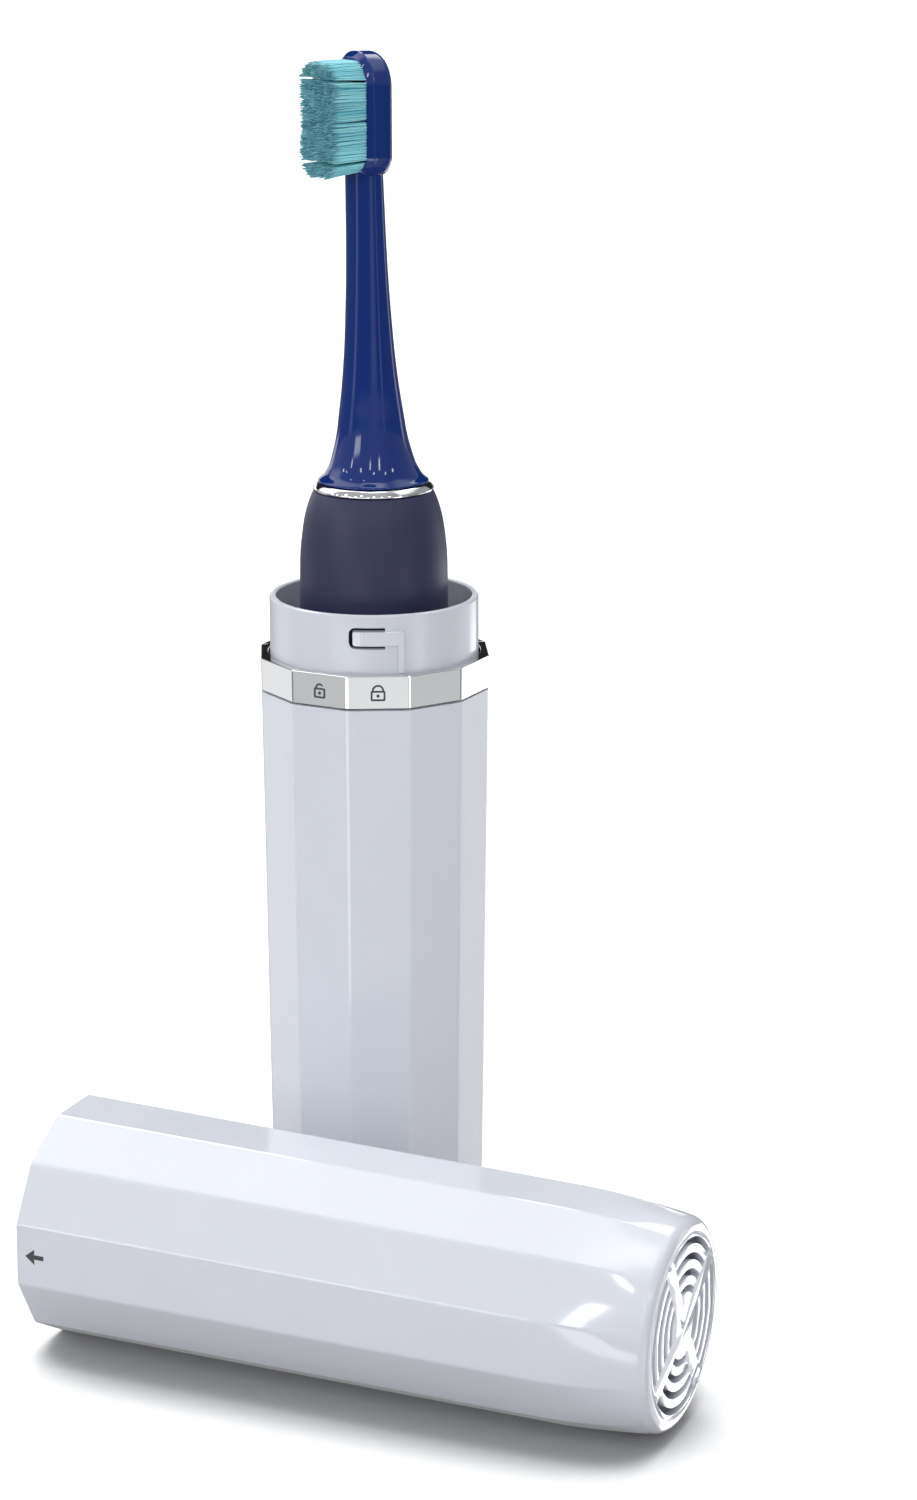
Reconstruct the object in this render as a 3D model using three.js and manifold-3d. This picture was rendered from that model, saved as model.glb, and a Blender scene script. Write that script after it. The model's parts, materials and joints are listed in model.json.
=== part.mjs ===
// Travel case for an electric toothbrush, open: the lower half stands on its base with the brush in it,
// and the cap lies on one of its facets in front. Millimetres, +Z up. The origin is the middle of the
// base, on the surface that the case stands on, and +X is the way the cap points.
//
// Angles on the case and the cap are counted from the front, which is -Y, towards +X.
import * as THREE from "three";
import { mergeGeometries, mergeVertices } from "three/addons/utils/BufferGeometryUtils.js";
import Module from "manifold-3d";

const wasm = await Module();
wasm.setup();

// Sizes that the whole case shares
const facetCount = 12;
const cornerRadius = 18.4; // centre to facet corner at the lock band
const halfHeight = 100; // floor to the top of the lock band, and the length of the cap
const facetEdgeRound = 1.3; // radius along each facet's edges
const endLength = 19; // stretch at each end where the facets fade into a round
const draftShare = 0.9554; // centre to facet corner where that stretch begins, by the one at the band
const endCornerRadius = draftShare * cornerRadius;
const endShare = 0.841; // the round end, as its taper would meet it, by the corner at the band
const endRadius = endShare * cornerRadius;
const endRound = 1.3; // radius of that edge
const roundFrom = 3; // height above the end where the section is fully round
const shellWall = 1.8;
const clearance = 0.3; // between pieces that touch
const cutOverrun = 1; // how far a cut runs past what it cuts
const weldDepth = 0.3; // how far a joined piece reaches into what carries it

// Lock band and the collar inside it
const bandHeight = 5.3;
const bandEdge = 0.25; // chamfer along the band's top and bottom
const collarShare = 0.8886; // the collar, by the corner at the band
const collarRadius = collarShare * cornerRadius;
const collarWall = 1.1;
const collarRise = 9.1; // above the band
const collarEdge = 0.35;
const neckRise = 3.5; // the sleeve's neck inside the band
const neckWall = 1.15;
const sleeveBore = collarRadius - neckWall;
const sleeveTaper = 0.3; // of the sleeve's bore, from its neck down
const sleeveBoreLow = sleeveBore - sleeveTaper;

// Bayonet: an L-shaped rib with a spring tongue in its bar
const lockCount = 2;
const ribHeight = 0.45; // out of the collar
const barTop = 6.6; // above the band
const barWidth = 2.2;
const barRound = 0.4;
const legEdge = 4.12; // the leg's far edge, sideways from the lock line
const legWidth = 0.95;
const tongueTip = 3.8; // the tongue's free end, on the other side
const slotWidth = 0.5;
const slotRound = 0.9;
const slotEnd = 1.17;
const ridgePlace = 2.3; // the detent ridge, from the lock line towards the tip
const ridgeRadius = 0.28;
const ridgeProud = 0.18; // out of the rib

// Cap
const ribPlay = 0.2; // from the rib to the cap's bore
const capBore = collarRadius + ribHeight + ribPlay;
const capBoreDepth = 10.2;
const lugInner = 0.15; // clearance of a lug to the collar
const lugBottom = 0.8; // above the cap's mouth
const lugTop = 4;
const lugGap = 0.3; // from a lug's side to the rib's leg when it is locked
const lugWidth = 3.7;
const capLine = 46.3; // from the case's axis to the cap's axis, forwards
const capMouthX = -30.2;

// Vent grille in the cap's end
const grilleRim = 0.85; // of the shell, around it
const grilleThickness = 1.4;
const grilleShelf = 0.8; // that it rests on
const grilleSeatWall = 1.2;
const spokeWidth = 3.1;
const spokeCount = 4;
const slotRows = 4;
const rowMargin = 0.65; // from the grille's rim to the outermost row
const rowPitchShare = 0.171; // from one row to the next, by the grille's radius
const rowWidth = 1.07;
const nubRadius = 0.45;
const nubHeight = 0.35;
const nubMargin = 0.5;
const hubDimple = 0.5;
const hubDimpleDepth = 0.4;

// Sleeve floor, foot pad, inner cup and seat pad
const footRise = 0.4; // the sleeve's end above the floor
const footShare = 0.598; // by the corner at the band
const footRadius = footShare * cornerRadius;
const footDepth = 0.8;
const cupFootHeight = 1.5;
const cupFootInset = 0.6; // from the foot pad's rim
const cupFootWidth = 2.4;
const cupWall = 1.2;
const cupClearance = 0.35;
const cupTaper = 0.4; // from the cup's mouth to its floor, on the radius
const cupEdge = 0.8; // chamfer along its bottom
const guideCount = 6;
const guideWidth = 1.2;
const guideTop = 92; // above the floor
const guideLead = 3;
const guideClearance = 0.4;
const seatInset = 1; // from the handle's side to the seat pad's rim
const seatThickness = 1.2;
const seatRim = 1.5;
const seatDish = 0.4;

// Handle
const handleWidthShare = 0.663; // at its fullest, by the corner at the band
const handleRadius = handleWidthShare * cornerRadius;
const handleShare = 1.18; // of the lower half's height
const handleLength = handleShare * halfHeight;
const handleWall = 1.4;
const endCapHeight = 6;
const endCapWall = 1.6;
const endCapEdge = 2.2;
const spigotHeight = 7;
const spigotWall = 0.9;
const spigotClearance = 0.35;
const mouthShare = 0.492; // the hole at its top, by its fullest
const handleMouth = mouthShare * handleRadius;
const mouthWall = 1.6;
const ringHeight = 1.4;
const ringStep = 0.6; // from the handle's mouth to the ring's bore
const ringBulge = 0.12;
const sealRadius = 0.37; // O-ring section
const sealDepth = 0.7; // of its groove
const grooveHeight = 1.2;

// Power button and indicator
const buttonShare = 0.686; // height of the button above the handle's base, by the handle's length
const buttonHeight = buttonShare * handleLength;
const buttonWidth = 6.4;
const buttonLength = 12.4;
const buttonTravel = 0.5;
const buttonProud = 0.3;
const buttonEdge = 0.35;
const lensBelow = 15;
const lensWidth = 1.9;
const lensLength = 5.2;
const lensInset = 0.1;

// Inside the handle
const chassisWall = 1.2;
const chassisGap = 0.35; // to the handle's inner wall
const cellWidthShare = 0.574; // by the handle's fullest
const cellRadius = cellWidthShare * handleRadius;
const cellShare = 0.424; // length of the cell, by the handle's length
const cellLength = cellShare * handleLength;
const bulkhead = 1.2;
const tabThickness = 0.3;
const tabWidth = 5;
const boardThickness = 1;
const boardWidth = 9;
const boardGap = 0.35;
const chipWidth = 5;
const chipLength = 7;
const chipHeight = 0.9;
const chipMargin = 3; // to the light and the switch
const switchSize = 4.5;
const switchHeight = 0.8;
const plungerRadius = 1;
const plungerHeight = 0.35;
const coilGap = 0.4; // to the end cap
const coilWidth = 3.6;
const coilHeight = 2.6;
const coreHeight = 0.9;
const motorRadius = cellRadius;
const motorShare = 0.271; // length of the motor, by the handle's length
const motorLength = motorShare * handleLength;
const motorWall = 0.9;
const rotorGap = 0.7; // to the can
const rotorRadius = motorRadius - motorWall - rotorGap;
const coverHeight = 1.6;
const shaftRadius = 1.5;
const shaftGrip = 0.8; // share of the insert that the shaft reaches into
const shaftFlat = 0.35;
const shaftFlatLength = 9;
const bootFlangeWidth = 1.4;
const bootFlangeHeight = 1.2;
const bootRise = 4.2; // above the trim ring
const bootTip = 2.7;
const bootFold = 0.5;
const bootGap = 0.6; // to the head's hollow

// Brush head
const headGap = 0.3; // above the trim ring
const neckShift = 1.35; // how far the neck leans towards the bristles
const neckTopRadius = 2.95;
const neckWiden = 0.19; // share that its top is wider than round
const neckFlatten = 0.22; // share that its top is thinner than round
const skirtInset = 0.8; // from the handle's top edge
const neckShare = 0.469; // of the lower half's height
const neckLength = neckShare * halfHeight;
const bushRadius = 3;
const bushLength = 11;
const plateLength = 18.6;
const plateWidth = 11;
const plateTopRound = 5.1;
const plateBottomRound = 3.2;
const plateBack = 1; // behind the brush's axis
const plateFront = 3.7; // before it
const plateEdge = 0.9;
const tuftLength = 6.1;
const tuftSlice = 0.6;
const tuftMargin = 0.55; // from the plate's side to the bristles' slice
const tuftSpread = 1.12; // how much wider the tips stand than the roots
const strandSides = 3;
const strandPitch = 0.67;
const strandRadius = 0.2;
const strandTip = 0.14;

// How the pieces stand
const caseTurnShare = 26.5 / 360; // the lock facet, as a share of a full turn from the front
const brushFacets = -2; // the bristles face this many facets from the lock facet

// Steps that a round form is made of
const roundSteps = 48;
const midSteps = 36;
const smallSteps = 24;
const tinySteps = 10;
const arcSteps = 6;
const facetShares = [-1, -1 / 3, 1 / 3, 1]; // points across a facet's flat

const fullTurn = 2 * Math.PI;
const facetAngle = fullTurn / facetCount;
const facetHalf = facetAngle / 2;

// Finishes
function finish(color, roughness, metalness = 0) {
  return new THREE.MeshStandardMaterial({ color, roughness, metalness });
}

const shellFinish = finish(0xccd0dc, 0.18);
const collarFinish = finish(0xd0d4dd, 0.35);
const chromeFinish = finish(0xdfe0e2, 0.08, 1);
const handleFinish = finish(0x2c304e, 0.6);
const headFinish = finish(0x1a2c78, 0.15);
const bristleFinish = finish(0x7fc6cc, 0.55);
const rubberFinish = finish(0x3a3c42, 0.85);
const innerFinish = finish(0xe4e5e8, 0.5);
const steelFinish = finish(0xb9bcc0, 0.3, 1);
const copperFinish = finish(0xb26a3c, 0.4, 1);
const ferriteFinish = finish(0x3d3b3a, 0.7);
const boardFinish = finish(0x1f6b45, 0.5);
const cellFinish = finish(0x3f73a8, 0.4);
const lensFinish = finish(0xe9f1f4, 0.2);

// A geometry as a solid, with its doubled points merged and its faces turned out
function solid(geometry) {
  const bare = geometry.clone();
  bare.deleteAttribute("normal");
  bare.deleteAttribute("uv");
  const merged = mergeVertices(bare);
  const corners = merged.index.array;
  const kept = [];
  for (let i = 0; i < corners.length; i += 3) {
    const [a, b, c] = corners.slice(i, i + 3);
    if (a !== b && b !== c && c !== a) kept.push(a, b, c);
  }
  const build = (order) =>
    new wasm.Manifold(
      new wasm.Mesh({
        numProp: 3,
        vertProperties: merged.attributes.position.array,
        triVerts: new Uint32Array(order),
      }),
    );
  const made = build(kept);
  return made.volume() < 0 ? build(kept.reverse()) : made;
}

const join = (first, ...rest) => rest.reduce((whole, piece) => whole.add(solid(piece)), solid(first));
const cut = (whole, ...pieces) => pieces.reduce((left, piece) => left.subtract(solid(piece)), whole);

// A named mesh from a geometry or from a solid
function piece(name, shape, material) {
  const made = shape.isBufferGeometry ? solid(shape) : shape;
  const mesh = made.getMesh();
  const geometry = new THREE.BufferGeometry();
  const points = new Float32Array(mesh.numVert * 3);
  for (let i = 0; i < mesh.numVert; i++) {
    points.set(mesh.vertProperties.subarray(i * mesh.numProp, i * mesh.numProp + 3), i * 3);
  }
  geometry.setAttribute("position", new THREE.BufferAttribute(points, 3));
  geometry.setIndex(new THREE.BufferAttribute(mesh.triVerts, 1));
  geometry.computeVertexNormals();
  const result = new THREE.Mesh(geometry, material);
  result.name = name;
  return result;
}

// A form turned about +Z from a profile of radius and height
function turned(profile, steps = roundSteps) {
  const points = profile.map(([radius, height]) => new THREE.Vector2(radius, height));
  return new THREE.LatheGeometry(points, steps).rotateX(Math.PI / 2);
}

// A ring between two radii and two heights
function ring(inner, outer, low, high, steps = roundSteps) {
  return turned([[inner, low], [outer, low], [outer, high], [inner, high], [inner, low]], steps);
}

// A disc, or a plain rod
function disc(radius, low, high, steps = smallSteps) {
  return turned([[0, low], [radius, low], [radius, high], [0, high]], steps);
}

// A flat shape, sideways and up, pushed out to the front from one distance to another
function pushedForward(shape, from, to, bevel = {}) {
  const depth = to - from;
  const settings = { depth, curveSegments: arcSteps, bevelEnabled: false, ...bevel };
  const body = new THREE.ExtrudeGeometry(shape, settings);
  return body.rotateX(Math.PI / 2).translate(0, -from, 0);
}

const turnedBy = (geometry, angle) => geometry.clone().rotateZ(angle);
const evenTurns = (count) => Array.from({ length: count }, (_, i) => (i * fullTurn) / count);

// A closed outline from a list of points
const outline = (points) => new THREE.Shape(points.map(([x, y]) => new THREE.Vector2(x, y)));

// How far the points of a rounded outer edge lie in from the side and up from the end
function edgeRound(radius) {
  return [0, 1, 2].map((i) => {
    const angle = (i * fullTurn) / 4 / 2;
    return [radius * (1 - Math.sin(angle)), radius * (1 - Math.cos(angle))];
  });
}

// Points of a quarter turn about a centre
function quarter(cx, cy, radius, from, direction, steps = arcSteps / 2) {
  return Array.from({ length: steps + 1 }, (_, i) => {
    const angle = from + (direction * i * fullTurn) / 4 / steps;
    return [cx + radius * Math.cos(angle), cy + radius * Math.sin(angle)];
  });
}

// A slot with round ends, standing upright about a middle point
function capsule(width, length, middle) {
  const radius = width / 2;
  const reach = length / 2 - radius;
  const shape = new THREE.Shape();
  shape.absarc(0, middle + reach, radius, 0, Math.PI, false);
  shape.absarc(0, middle - reach, radius, Math.PI, fullTurn, false);
  shape.closePath();
  return shape;
}

// Skin over sections that have equal counts of points. The first and the last section close flat, or the
// last one joins the first.
function skin(sections, loops) {
  const count = sections[0].length;
  const points = sections.flat();
  const faces = [];
  const joins = loops ? sections.length : sections.length - 1;
  for (let level = 0; level < joins; level++) {
    const low = level * count;
    const high = ((level + 1) % sections.length) * count;
    for (let i = 0; i < count; i++) {
      const next = (i + 1) % count;
      faces.push(low + i, low + next, high + next, low + i, high + next, high + i);
    }
  }
  const last = (sections.length - 1) * count;
  for (let i = 1; i < count - 1 && !loops; i++) {
    faces.push(0, i + 1, i, last, last + i, last + i + 1);
  }
  const geometry = new THREE.BufferGeometry().setFromPoints(points);
  geometry.setIndex(faces);
  return geometry;
}

// One level section of the case: faceted at fade 0 and round at fade 1. The points lie across each
// facet's flat, and the short step from one flat to the next rounds the edge.
function section(corner, fade, height) {
  const apothem = corner * Math.cos(facetHalf);
  const flat = corner * Math.sin(facetHalf) - facetEdgeRound * Math.tan(facetHalf);
  const points = [];
  for (let facet = 0; facet < facetCount; facet++) {
    for (const share of facetShares) {
      const sideways = share * flat;
      const angle = facet * facetAngle + Math.atan2(sideways, apothem);
      const radius = THREE.MathUtils.lerp(Math.hypot(apothem, sideways), corner, fade);
      points.push(new THREE.Vector3(radius * Math.sin(angle), -radius * Math.cos(angle), height));
    }
  }
  return points;
}

// The outer form of both halves, by the distance from the round end
const endShares = [0.2, 0.38, 0.62, 1];
function cornerAt(distance) {
  if (distance >= endLength) {
    const along = (distance - endLength) / (halfHeight - endLength);
    return THREE.MathUtils.lerp(endCornerRadius, cornerRadius, along);
  }
  const left = 1 - distance / endLength;
  return endCornerRadius - (endCornerRadius - endRadius) * left * left;
}
const fadeAt = (distance) => 1 - THREE.MathUtils.smoothstep(distance, roundFrom, endLength);

// Sections from the flat of the round end up to the mouth. A wall moves them inwards.
function outerSections(mouth, place) {
  const edge = edgeRound(endRound).map(([inset, rise]) => section(cornerAt(endRound) - inset, 1, place(rise)));
  const shoulder = endShares.map((share) => {
    const distance = share * endLength;
    return section(cornerAt(distance), fadeAt(distance), place(distance));
  });
  return [...edge, ...shoulder, section(cornerAt(mouth), 0, place(mouth))];
}

// Case: sleeve, band, inner cup, pads
const endFlatRadius = cornerAt(endRound) - endRound;
const bandBottom = halfHeight - bandHeight;
const sleeveTop = bandBottom - clearance / 2;
const sleeveFloor = footRise + shellWall;
const cupFootLow = sleeveFloor + clearance;
const cupBottom = cupFootLow + cupFootHeight;
const cupFloor = cupBottom + cupWall;
const seatLow = cupFloor + clearance;
const seatTop = seatLow + seatThickness;
const brushBase = seatTop + clearance;
const neckTop = bandBottom + neckRise;
const collarLow = neckTop + clearance;
const collarTop = halfHeight + collarRise;
const collarBore = collarRadius - collarWall;
const seatRadius = handleRadius - seatInset;
const cupFootOuter = footRadius - cupFootInset;
const cupFootInner = cupFootOuter - cupFootWidth;
const cupMouthOuter = sleeveBore - cupClearance;
const cupFloorOuter = sleeveBoreLow - cupClearance - cupTaper;
const cupMouthBore = cupMouthOuter - cupWall;
const cupFloorBore = cupFloorOuter - cupWall;

function makeSleeve() {
  const place = (distance) => footRise + distance;
  const recess = footRise + footDepth;
  const lowBore = sleeveFloor + endRound * 2;
  return skin([
    section(footRadius, 1, recess),
    section(footRadius, 1, footRise),
    ...outerSections(sleeveTop - footRise, place),
    section(collarRadius, 1, sleeveTop),
    section(collarRadius, 1, neckTop),
    section(sleeveBore, 1, neckTop),
    section(sleeveBoreLow, 1, endLength + footRise),
    section(cornerAt(endRound * 2) - shellWall, 1, lowBore),
    section(endFlatRadius - shellWall / 2, 1, sleeveFloor),
  ], false);
}

function makeFootPad() {
  const radius = footRadius - clearance;
  const top = footRise + footDepth - clearance;
  return disc(radius, 0, top, smallSteps);
}

function makeLockBand() {
  const bore = collarRadius + clearance;
  const low = bandBottom + clearance / 2;
  const inset = bandEdge / Math.cos(facetHalf);
  const lowCorner = cornerAt(bandBottom);
  return skin([
    section(bore, 1, low),
    section(lowCorner - inset, 0, low),
    section(lowCorner, 0, low + bandEdge),
    section(cornerRadius, 0, halfHeight - bandEdge),
    section(cornerRadius - inset, 0, halfHeight),
    section(bore, 1, halfHeight),
  ], true);
}

// The L-shaped rib, as seen from the front: a bar whose tip is the tongue, and a leg down to the band
function ribOutline() {
  const top = halfHeight + barTop;
  const bottom = top - barWidth;
  const right = Math.PI / 2;
  const left = Math.PI;
  return outline([
    [legEdge - legWidth, halfHeight + clearance / 2],
    [legEdge, halfHeight + clearance / 2],
    ...quarter(legEdge - barRound, top - barRound, barRound, 0, 1),
    ...quarter(-tongueTip + barRound, top - barRound, barRound, right, 1),
    ...quarter(-tongueTip + barRound, bottom + barRound, barRound, left, 1),
    [legEdge - legWidth, bottom],
  ]);
}

// The U-shaped slot that frees the tongue
function slotOutline() {
  const top = halfHeight + barTop;
  const bottom = top - barWidth;
  const far = -tongueTip - slotWidth;
  const inner = slotRound - slotWidth;
  const right = Math.PI / 2;
  const left = Math.PI;
  return outline([
    [slotEnd, top + slotWidth],
    ...quarter(far + slotRound, top + slotWidth - slotRound, slotRound, right, 1),
    ...quarter(far + slotRound, bottom - slotWidth + slotRound, slotRound, left, 1),
    [slotEnd, bottom - slotWidth],
    [slotEnd, bottom],
    ...quarter(-tongueTip + inner, bottom + inner, inner, -right, -1),
    ...quarter(-tongueTip + inner, top - inner, inner, left, -1),
    [slotEnd, top],
  ]);
}

function makeInnerCup() {
  const sides = [
    [0, cupBottom],
    [cupFootInner, cupBottom],
    [cupFootInner, cupFootLow],
    [cupFootOuter, cupFootLow],
    [cupFootOuter, cupBottom],
    [cupFloorOuter - cupEdge, cupBottom],
    [cupFloorOuter, cupBottom + cupEdge],
    [cupMouthOuter, collarLow],
    [collarRadius, collarLow],
    [collarRadius, collarTop - collarEdge],
    [collarRadius - collarEdge, collarTop],
    [collarBore + collarEdge, collarTop],
    [collarBore, collarTop - collarEdge],
    [collarBore, halfHeight],
    [cupMouthBore, collarLow],
    [cupFloorBore, cupFloor],
    [0, cupFloor],
  ];
  let cup = solid(turned(sides));
  const ribBand = solid(ring(collarRadius - weldDepth, collarRadius + ribHeight, halfHeight, collarTop));
  const prism = pushedForward(ribOutline(), collarBore, collarRadius + cutOverrun);
  const slot = pushedForward(slotOutline(), collarBore - cutOverrun, collarRadius + cutOverrun);
  const ridge = disc(ridgeRadius, -barWidth / 2, barWidth / 2, tinySteps);
  const ridgeCircle = collarRadius + ribHeight + ridgeProud - ridgeRadius;
  const ridgeReach = Math.sqrt(ridgeCircle ** 2 - ridgePlace ** 2);
  ridge.translate(-ridgePlace, -ridgeReach, halfHeight + barTop - barWidth / 2);
  for (const angle of evenTurns(lockCount)) {
    const rib = solid(turnedBy(prism, angle)).intersect(ribBand);
    cup = cup.add(rib).add(solid(turnedBy(ridge, angle)));
    cup = cut(cup, turnedBy(slot, angle));
  }
  const guideRadius = handleRadius + guideClearance;
  const guideFoot = cupFloor - weldDepth;
  const mouthReach = cupMouthBore + weldDepth;
  const floorReach = cupFloorBore + weldDepth;
  const guideShape = outline([
    [guideRadius, guideFoot],
    [floorReach, guideFoot],
    [mouthReach, guideTop],
    [guideRadius, guideTop - guideLead],
  ]);
  const guide = new THREE.ExtrudeGeometry(guideShape, { depth: guideWidth, bevelEnabled: false });
  guide.translate(0, 0, -guideWidth / 2).rotateX(Math.PI / 2);
  for (const angle of evenTurns(guideCount)) {
    cup = cup.add(solid(turnedBy(guide, angle)));
  }
  return cup;
}

function makeSeatPad() {
  return turned([
    [0, seatLow],
    [seatRadius, seatLow],
    [seatRadius, seatTop],
    [seatRadius - seatRim, seatTop],
    [seatRadius - seatRim - seatDish, seatTop - seatDish],
    [0, seatTop - seatDish],
  ], smallSteps);
}

const caseGroup = new THREE.Group();
caseGroup.rotation.z = caseTurnShare * fullTurn;
caseGroup.add(
  piece("case_sleeve", makeSleeve(), shellFinish),
  piece("foot_pad", makeFootPad(), rubberFinish),
  piece("lock_band", makeLockBand(), chromeFinish),
  piece("inner_cup", makeInnerCup(), collarFinish),
  piece("seat_pad", makeSeatPad(), rubberFinish),
);

// Cap, standing on its mouth with its arrow facet to the front, as it closes on the case
const grilleRadius = endFlatRadius - grilleRim;
const grilleSeat = grilleRadius + clearance - grilleShelf;
const rowOuter = grilleRadius - rowMargin;
const rowPitch = rowPitchShare * grilleRadius;
const nubCircle = grilleRadius - nubMargin;
const grilleLow = halfHeight - grilleThickness;
const seatFace = grilleLow - clearance;

function makeCapShell() {
  const place = (distance) => halfHeight - distance;
  const outer = outerSections(halfHeight, place);
  const grilleHole = grilleRadius + clearance;
  const wallAtCorner = shellWall / Math.cos(facetHalf);
  const inside = (distance) => section(cornerAt(distance) - wallAtCorner, fadeAt(distance), place(distance));
  const seatInner = seatFace - grilleSeatWall;
  const shell = solid(skin([
    ...outer,
    section(capBore, 1, 0),
    section(capBore, 1, capBoreDepth),
    inside(halfHeight - capBoreDepth),
    inside(endLength),
    inside(endLength / 2),
    section(cornerAt(endRound * 2) - wallAtCorner, 1, seatInner),
    section(grilleSeat, 1, seatInner),
    section(grilleSeat, 1, seatFace),
    section(grilleHole, 1, seatFace),
    section(grilleHole, 1, halfHeight),
  ], true));
  const far = legEdge - legWidth - lugGap;
  const lugShape = outline([
    [far - lugWidth, lugBottom],
    [far, lugBottom],
    [far, lugTop],
    [far - lugWidth, lugTop],
  ]);
  const lugRing = solid(ring(collarRadius + lugInner, capBore + weldDepth, lugBottom, lugTop));
  const prism = pushedForward(lugShape, collarBore, capBore + cutOverrun);
  const lugs = evenTurns(lockCount).map((angle) => solid(turnedBy(prism, angle)).intersect(lugRing));
  return lugs.reduce((made, lug) => made.add(lug), shell);
}

// One arc slot between two spokes, whose ends run along the spokes
function ventSlot(outerRadius) {
  const innerRadius = outerRadius - rowWidth;
  const half = (radius) => fullTurn / spokeCount / 2 - Math.asin(spokeWidth / 2 / radius);
  const arc = (radius, direction) =>
    Array.from({ length: arcSteps + 1 }, (_, i) => {
      const angle = direction * half(radius) * ((2 * i) / arcSteps - 1);
      return new THREE.Vector2(radius * Math.cos(angle), radius * Math.sin(angle));
    });
  return [...arc(outerRadius, 1), ...arc(innerRadius, -1)];
}

function makeGrille() {
  const rim = evenTurns(roundSteps).map((angle) => {
    return [grilleRadius * Math.cos(angle), grilleRadius * Math.sin(angle)];
  });
  const face = outline(rim);
  const origin = new THREE.Vector2();
  for (const turn of evenTurns(spokeCount)) {
    for (let row = 0; row < slotRows; row++) {
      const points = ventSlot(rowOuter - row * rowPitch);
      const angle = turn + fullTurn / spokeCount / 2 + facetAngle;
      face.holes.push(new THREE.Path(points.map((point) => point.rotateAround(origin, angle))));
    }
  }
  const plate = new THREE.ExtrudeGeometry(face, { depth: grilleThickness, bevelEnabled: false });
  plate.translate(0, 0, grilleLow);
  const nub = disc(nubRadius, halfHeight - weldDepth, halfHeight + nubHeight, tinySteps);
  nub.translate(nubCircle, 0, 0);
  const nubs = evenTurns(spokeCount).map((turn) => turnedBy(nub, turn + facetAngle));
  const dimple = disc(hubDimple, halfHeight - hubDimpleDepth, halfHeight + cutOverrun, tinySteps);
  return cut(join(plate, ...nubs), dimple);
}

// The cap lies on the facet that faces its local +X. The facet's draft tilts its axis.
const draftDepth = (cornerRadius - endCornerRadius) * Math.cos(facetHalf);
const capDraft = Math.atan(draftDepth / (halfHeight - endLength));
const capGroup = new THREE.Group();
capGroup.rotation.y = Math.PI / 2 + capDraft;
capGroup.position.set(capMouthX, -capLine, cornerRadius * Math.cos(facetHalf) * Math.cos(capDraft));
capGroup.add(
  piece("cap_shell", makeCapShell(), shellFinish),
  piece("vent_grille", makeGrille(), shellFinish),
);

// Brush, in a frame whose origin is the middle of the handle's base and whose front is the bristle side
const handleShares = [
  // share of the shell's length, share of its fullest radius
  [0, 0.984],
  [0.24, 1],
  [0.42, 1],
  [0.69, 0.971],
  [0.84, 0.95],
  [0.9, 0.944],
  [0.925, 0.932],
  [0.953, 0.902],
  [0.972, 0.869],
  [0.988, 0.826],
  [1, 0.779],
];
const ringLow = handleLength + clearance;
const ringTop = ringLow + ringHeight;
const headBase = ringTop + headGap;
const shellLow = endCapHeight + clearance;

// The handle's outer radius at a height above its base
function handleAt(height) {
  const share = (height - shellLow) / (handleLength - shellLow);
  const next = Math.max(1, handleShares.findIndex(([at]) => at >= Math.min(share, 1)));
  const [lowAt, lowRadius] = handleShares[next - 1];
  const [highAt, highRadius] = handleShares[next];
  const along = THREE.MathUtils.clamp((share - lowAt) / (highAt - lowAt), 0, 1);
  return handleRadius * THREE.MathUtils.lerp(lowRadius, highRadius, along);
}
const innerAt = (height) => handleAt(height) - handleWall;
const mouthFace = handleLength - mouthWall;
const lensHeight = buttonHeight - lensBelow;

function makeHandleShell() {
  const heights = handleShares.map(([share]) => THREE.MathUtils.lerp(shellLow, handleLength, share));
  const outer = heights.map((height) => [handleAt(height), height]);
  const innerHeights = heights.filter((height, i) => i % 2 === 0 && height < mouthFace - handleWall);
  const inner = innerHeights.reverse().map((height) => [innerAt(height), height]);
  const profile = [
    ...outer,
    [handleMouth, handleLength],
    [handleMouth, mouthFace],
    [innerAt(mouthFace), mouthFace],
    ...inner,
    outer[0],
  ];
  const opening = clearance * 2;
  const buttonHole = capsule(buttonWidth + opening, buttonLength + opening, buttonHeight);
  const lensHole = capsule(lensWidth + opening, lensLength + opening, lensHeight);
  const far = handleRadius + cutOverrun;
  const holes = [buttonHole, lensHole].map((hole) => pushedForward(hole, cellRadius, far));
  return cut(solid(turned(profile)), ...holes);
}

function makeTrimRing() {
  const low = handleAt(handleLength);
  const high = low - (handleAt(mouthFace) - low) * (ringHeight / mouthWall) * facetHalf;
  const bore = handleMouth + ringStep;
  const middle = (ringLow + ringTop) / 2;
  return turned([
    [bore, ringLow],
    [low - ringBulge, ringLow],
    [low, middle - ringHeight / 4],
    [(low + high) / 2 + ringBulge, middle],
    [high, ringTop - ringHeight / 8],
    [high - ringBulge, ringTop],
    [bore, ringTop],
    [bore, ringLow],
  ], midSteps);
}

const spigotRadius = innerAt(shellLow) - spigotClearance;
const spigotTop = endCapHeight + spigotHeight;
const endCapBore = spigotRadius - spigotWall - sealDepth;
const coilOuter = endCapBore - coilGap;
const coilInner = coilOuter - coilWidth;
const grooveMiddle = endCapHeight + spigotHeight / 2;
const endCapRadius = handleAt(shellLow) - ringBulge;

function makeEndCap() {
  const edge = edgeRound(endCapEdge).map(([inset, rise]) => [endCapRadius - inset, rise]);
  const grooveLow = grooveMiddle - grooveHeight / 2;
  const grooveHigh = grooveMiddle + grooveHeight / 2;
  return turned([
    [0, 0],
    ...edge,
    [endCapRadius, endCapHeight],
    [spigotRadius, endCapHeight],
    [spigotRadius, grooveLow],
    [spigotRadius - sealDepth, grooveLow],
    [spigotRadius - sealDepth, grooveHigh],
    [spigotRadius, grooveHigh],
    [spigotRadius, spigotTop],
    [endCapBore, spigotTop],
    [endCapBore, endCapWall],
    [0, endCapWall],
  ], smallSteps);
}

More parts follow.
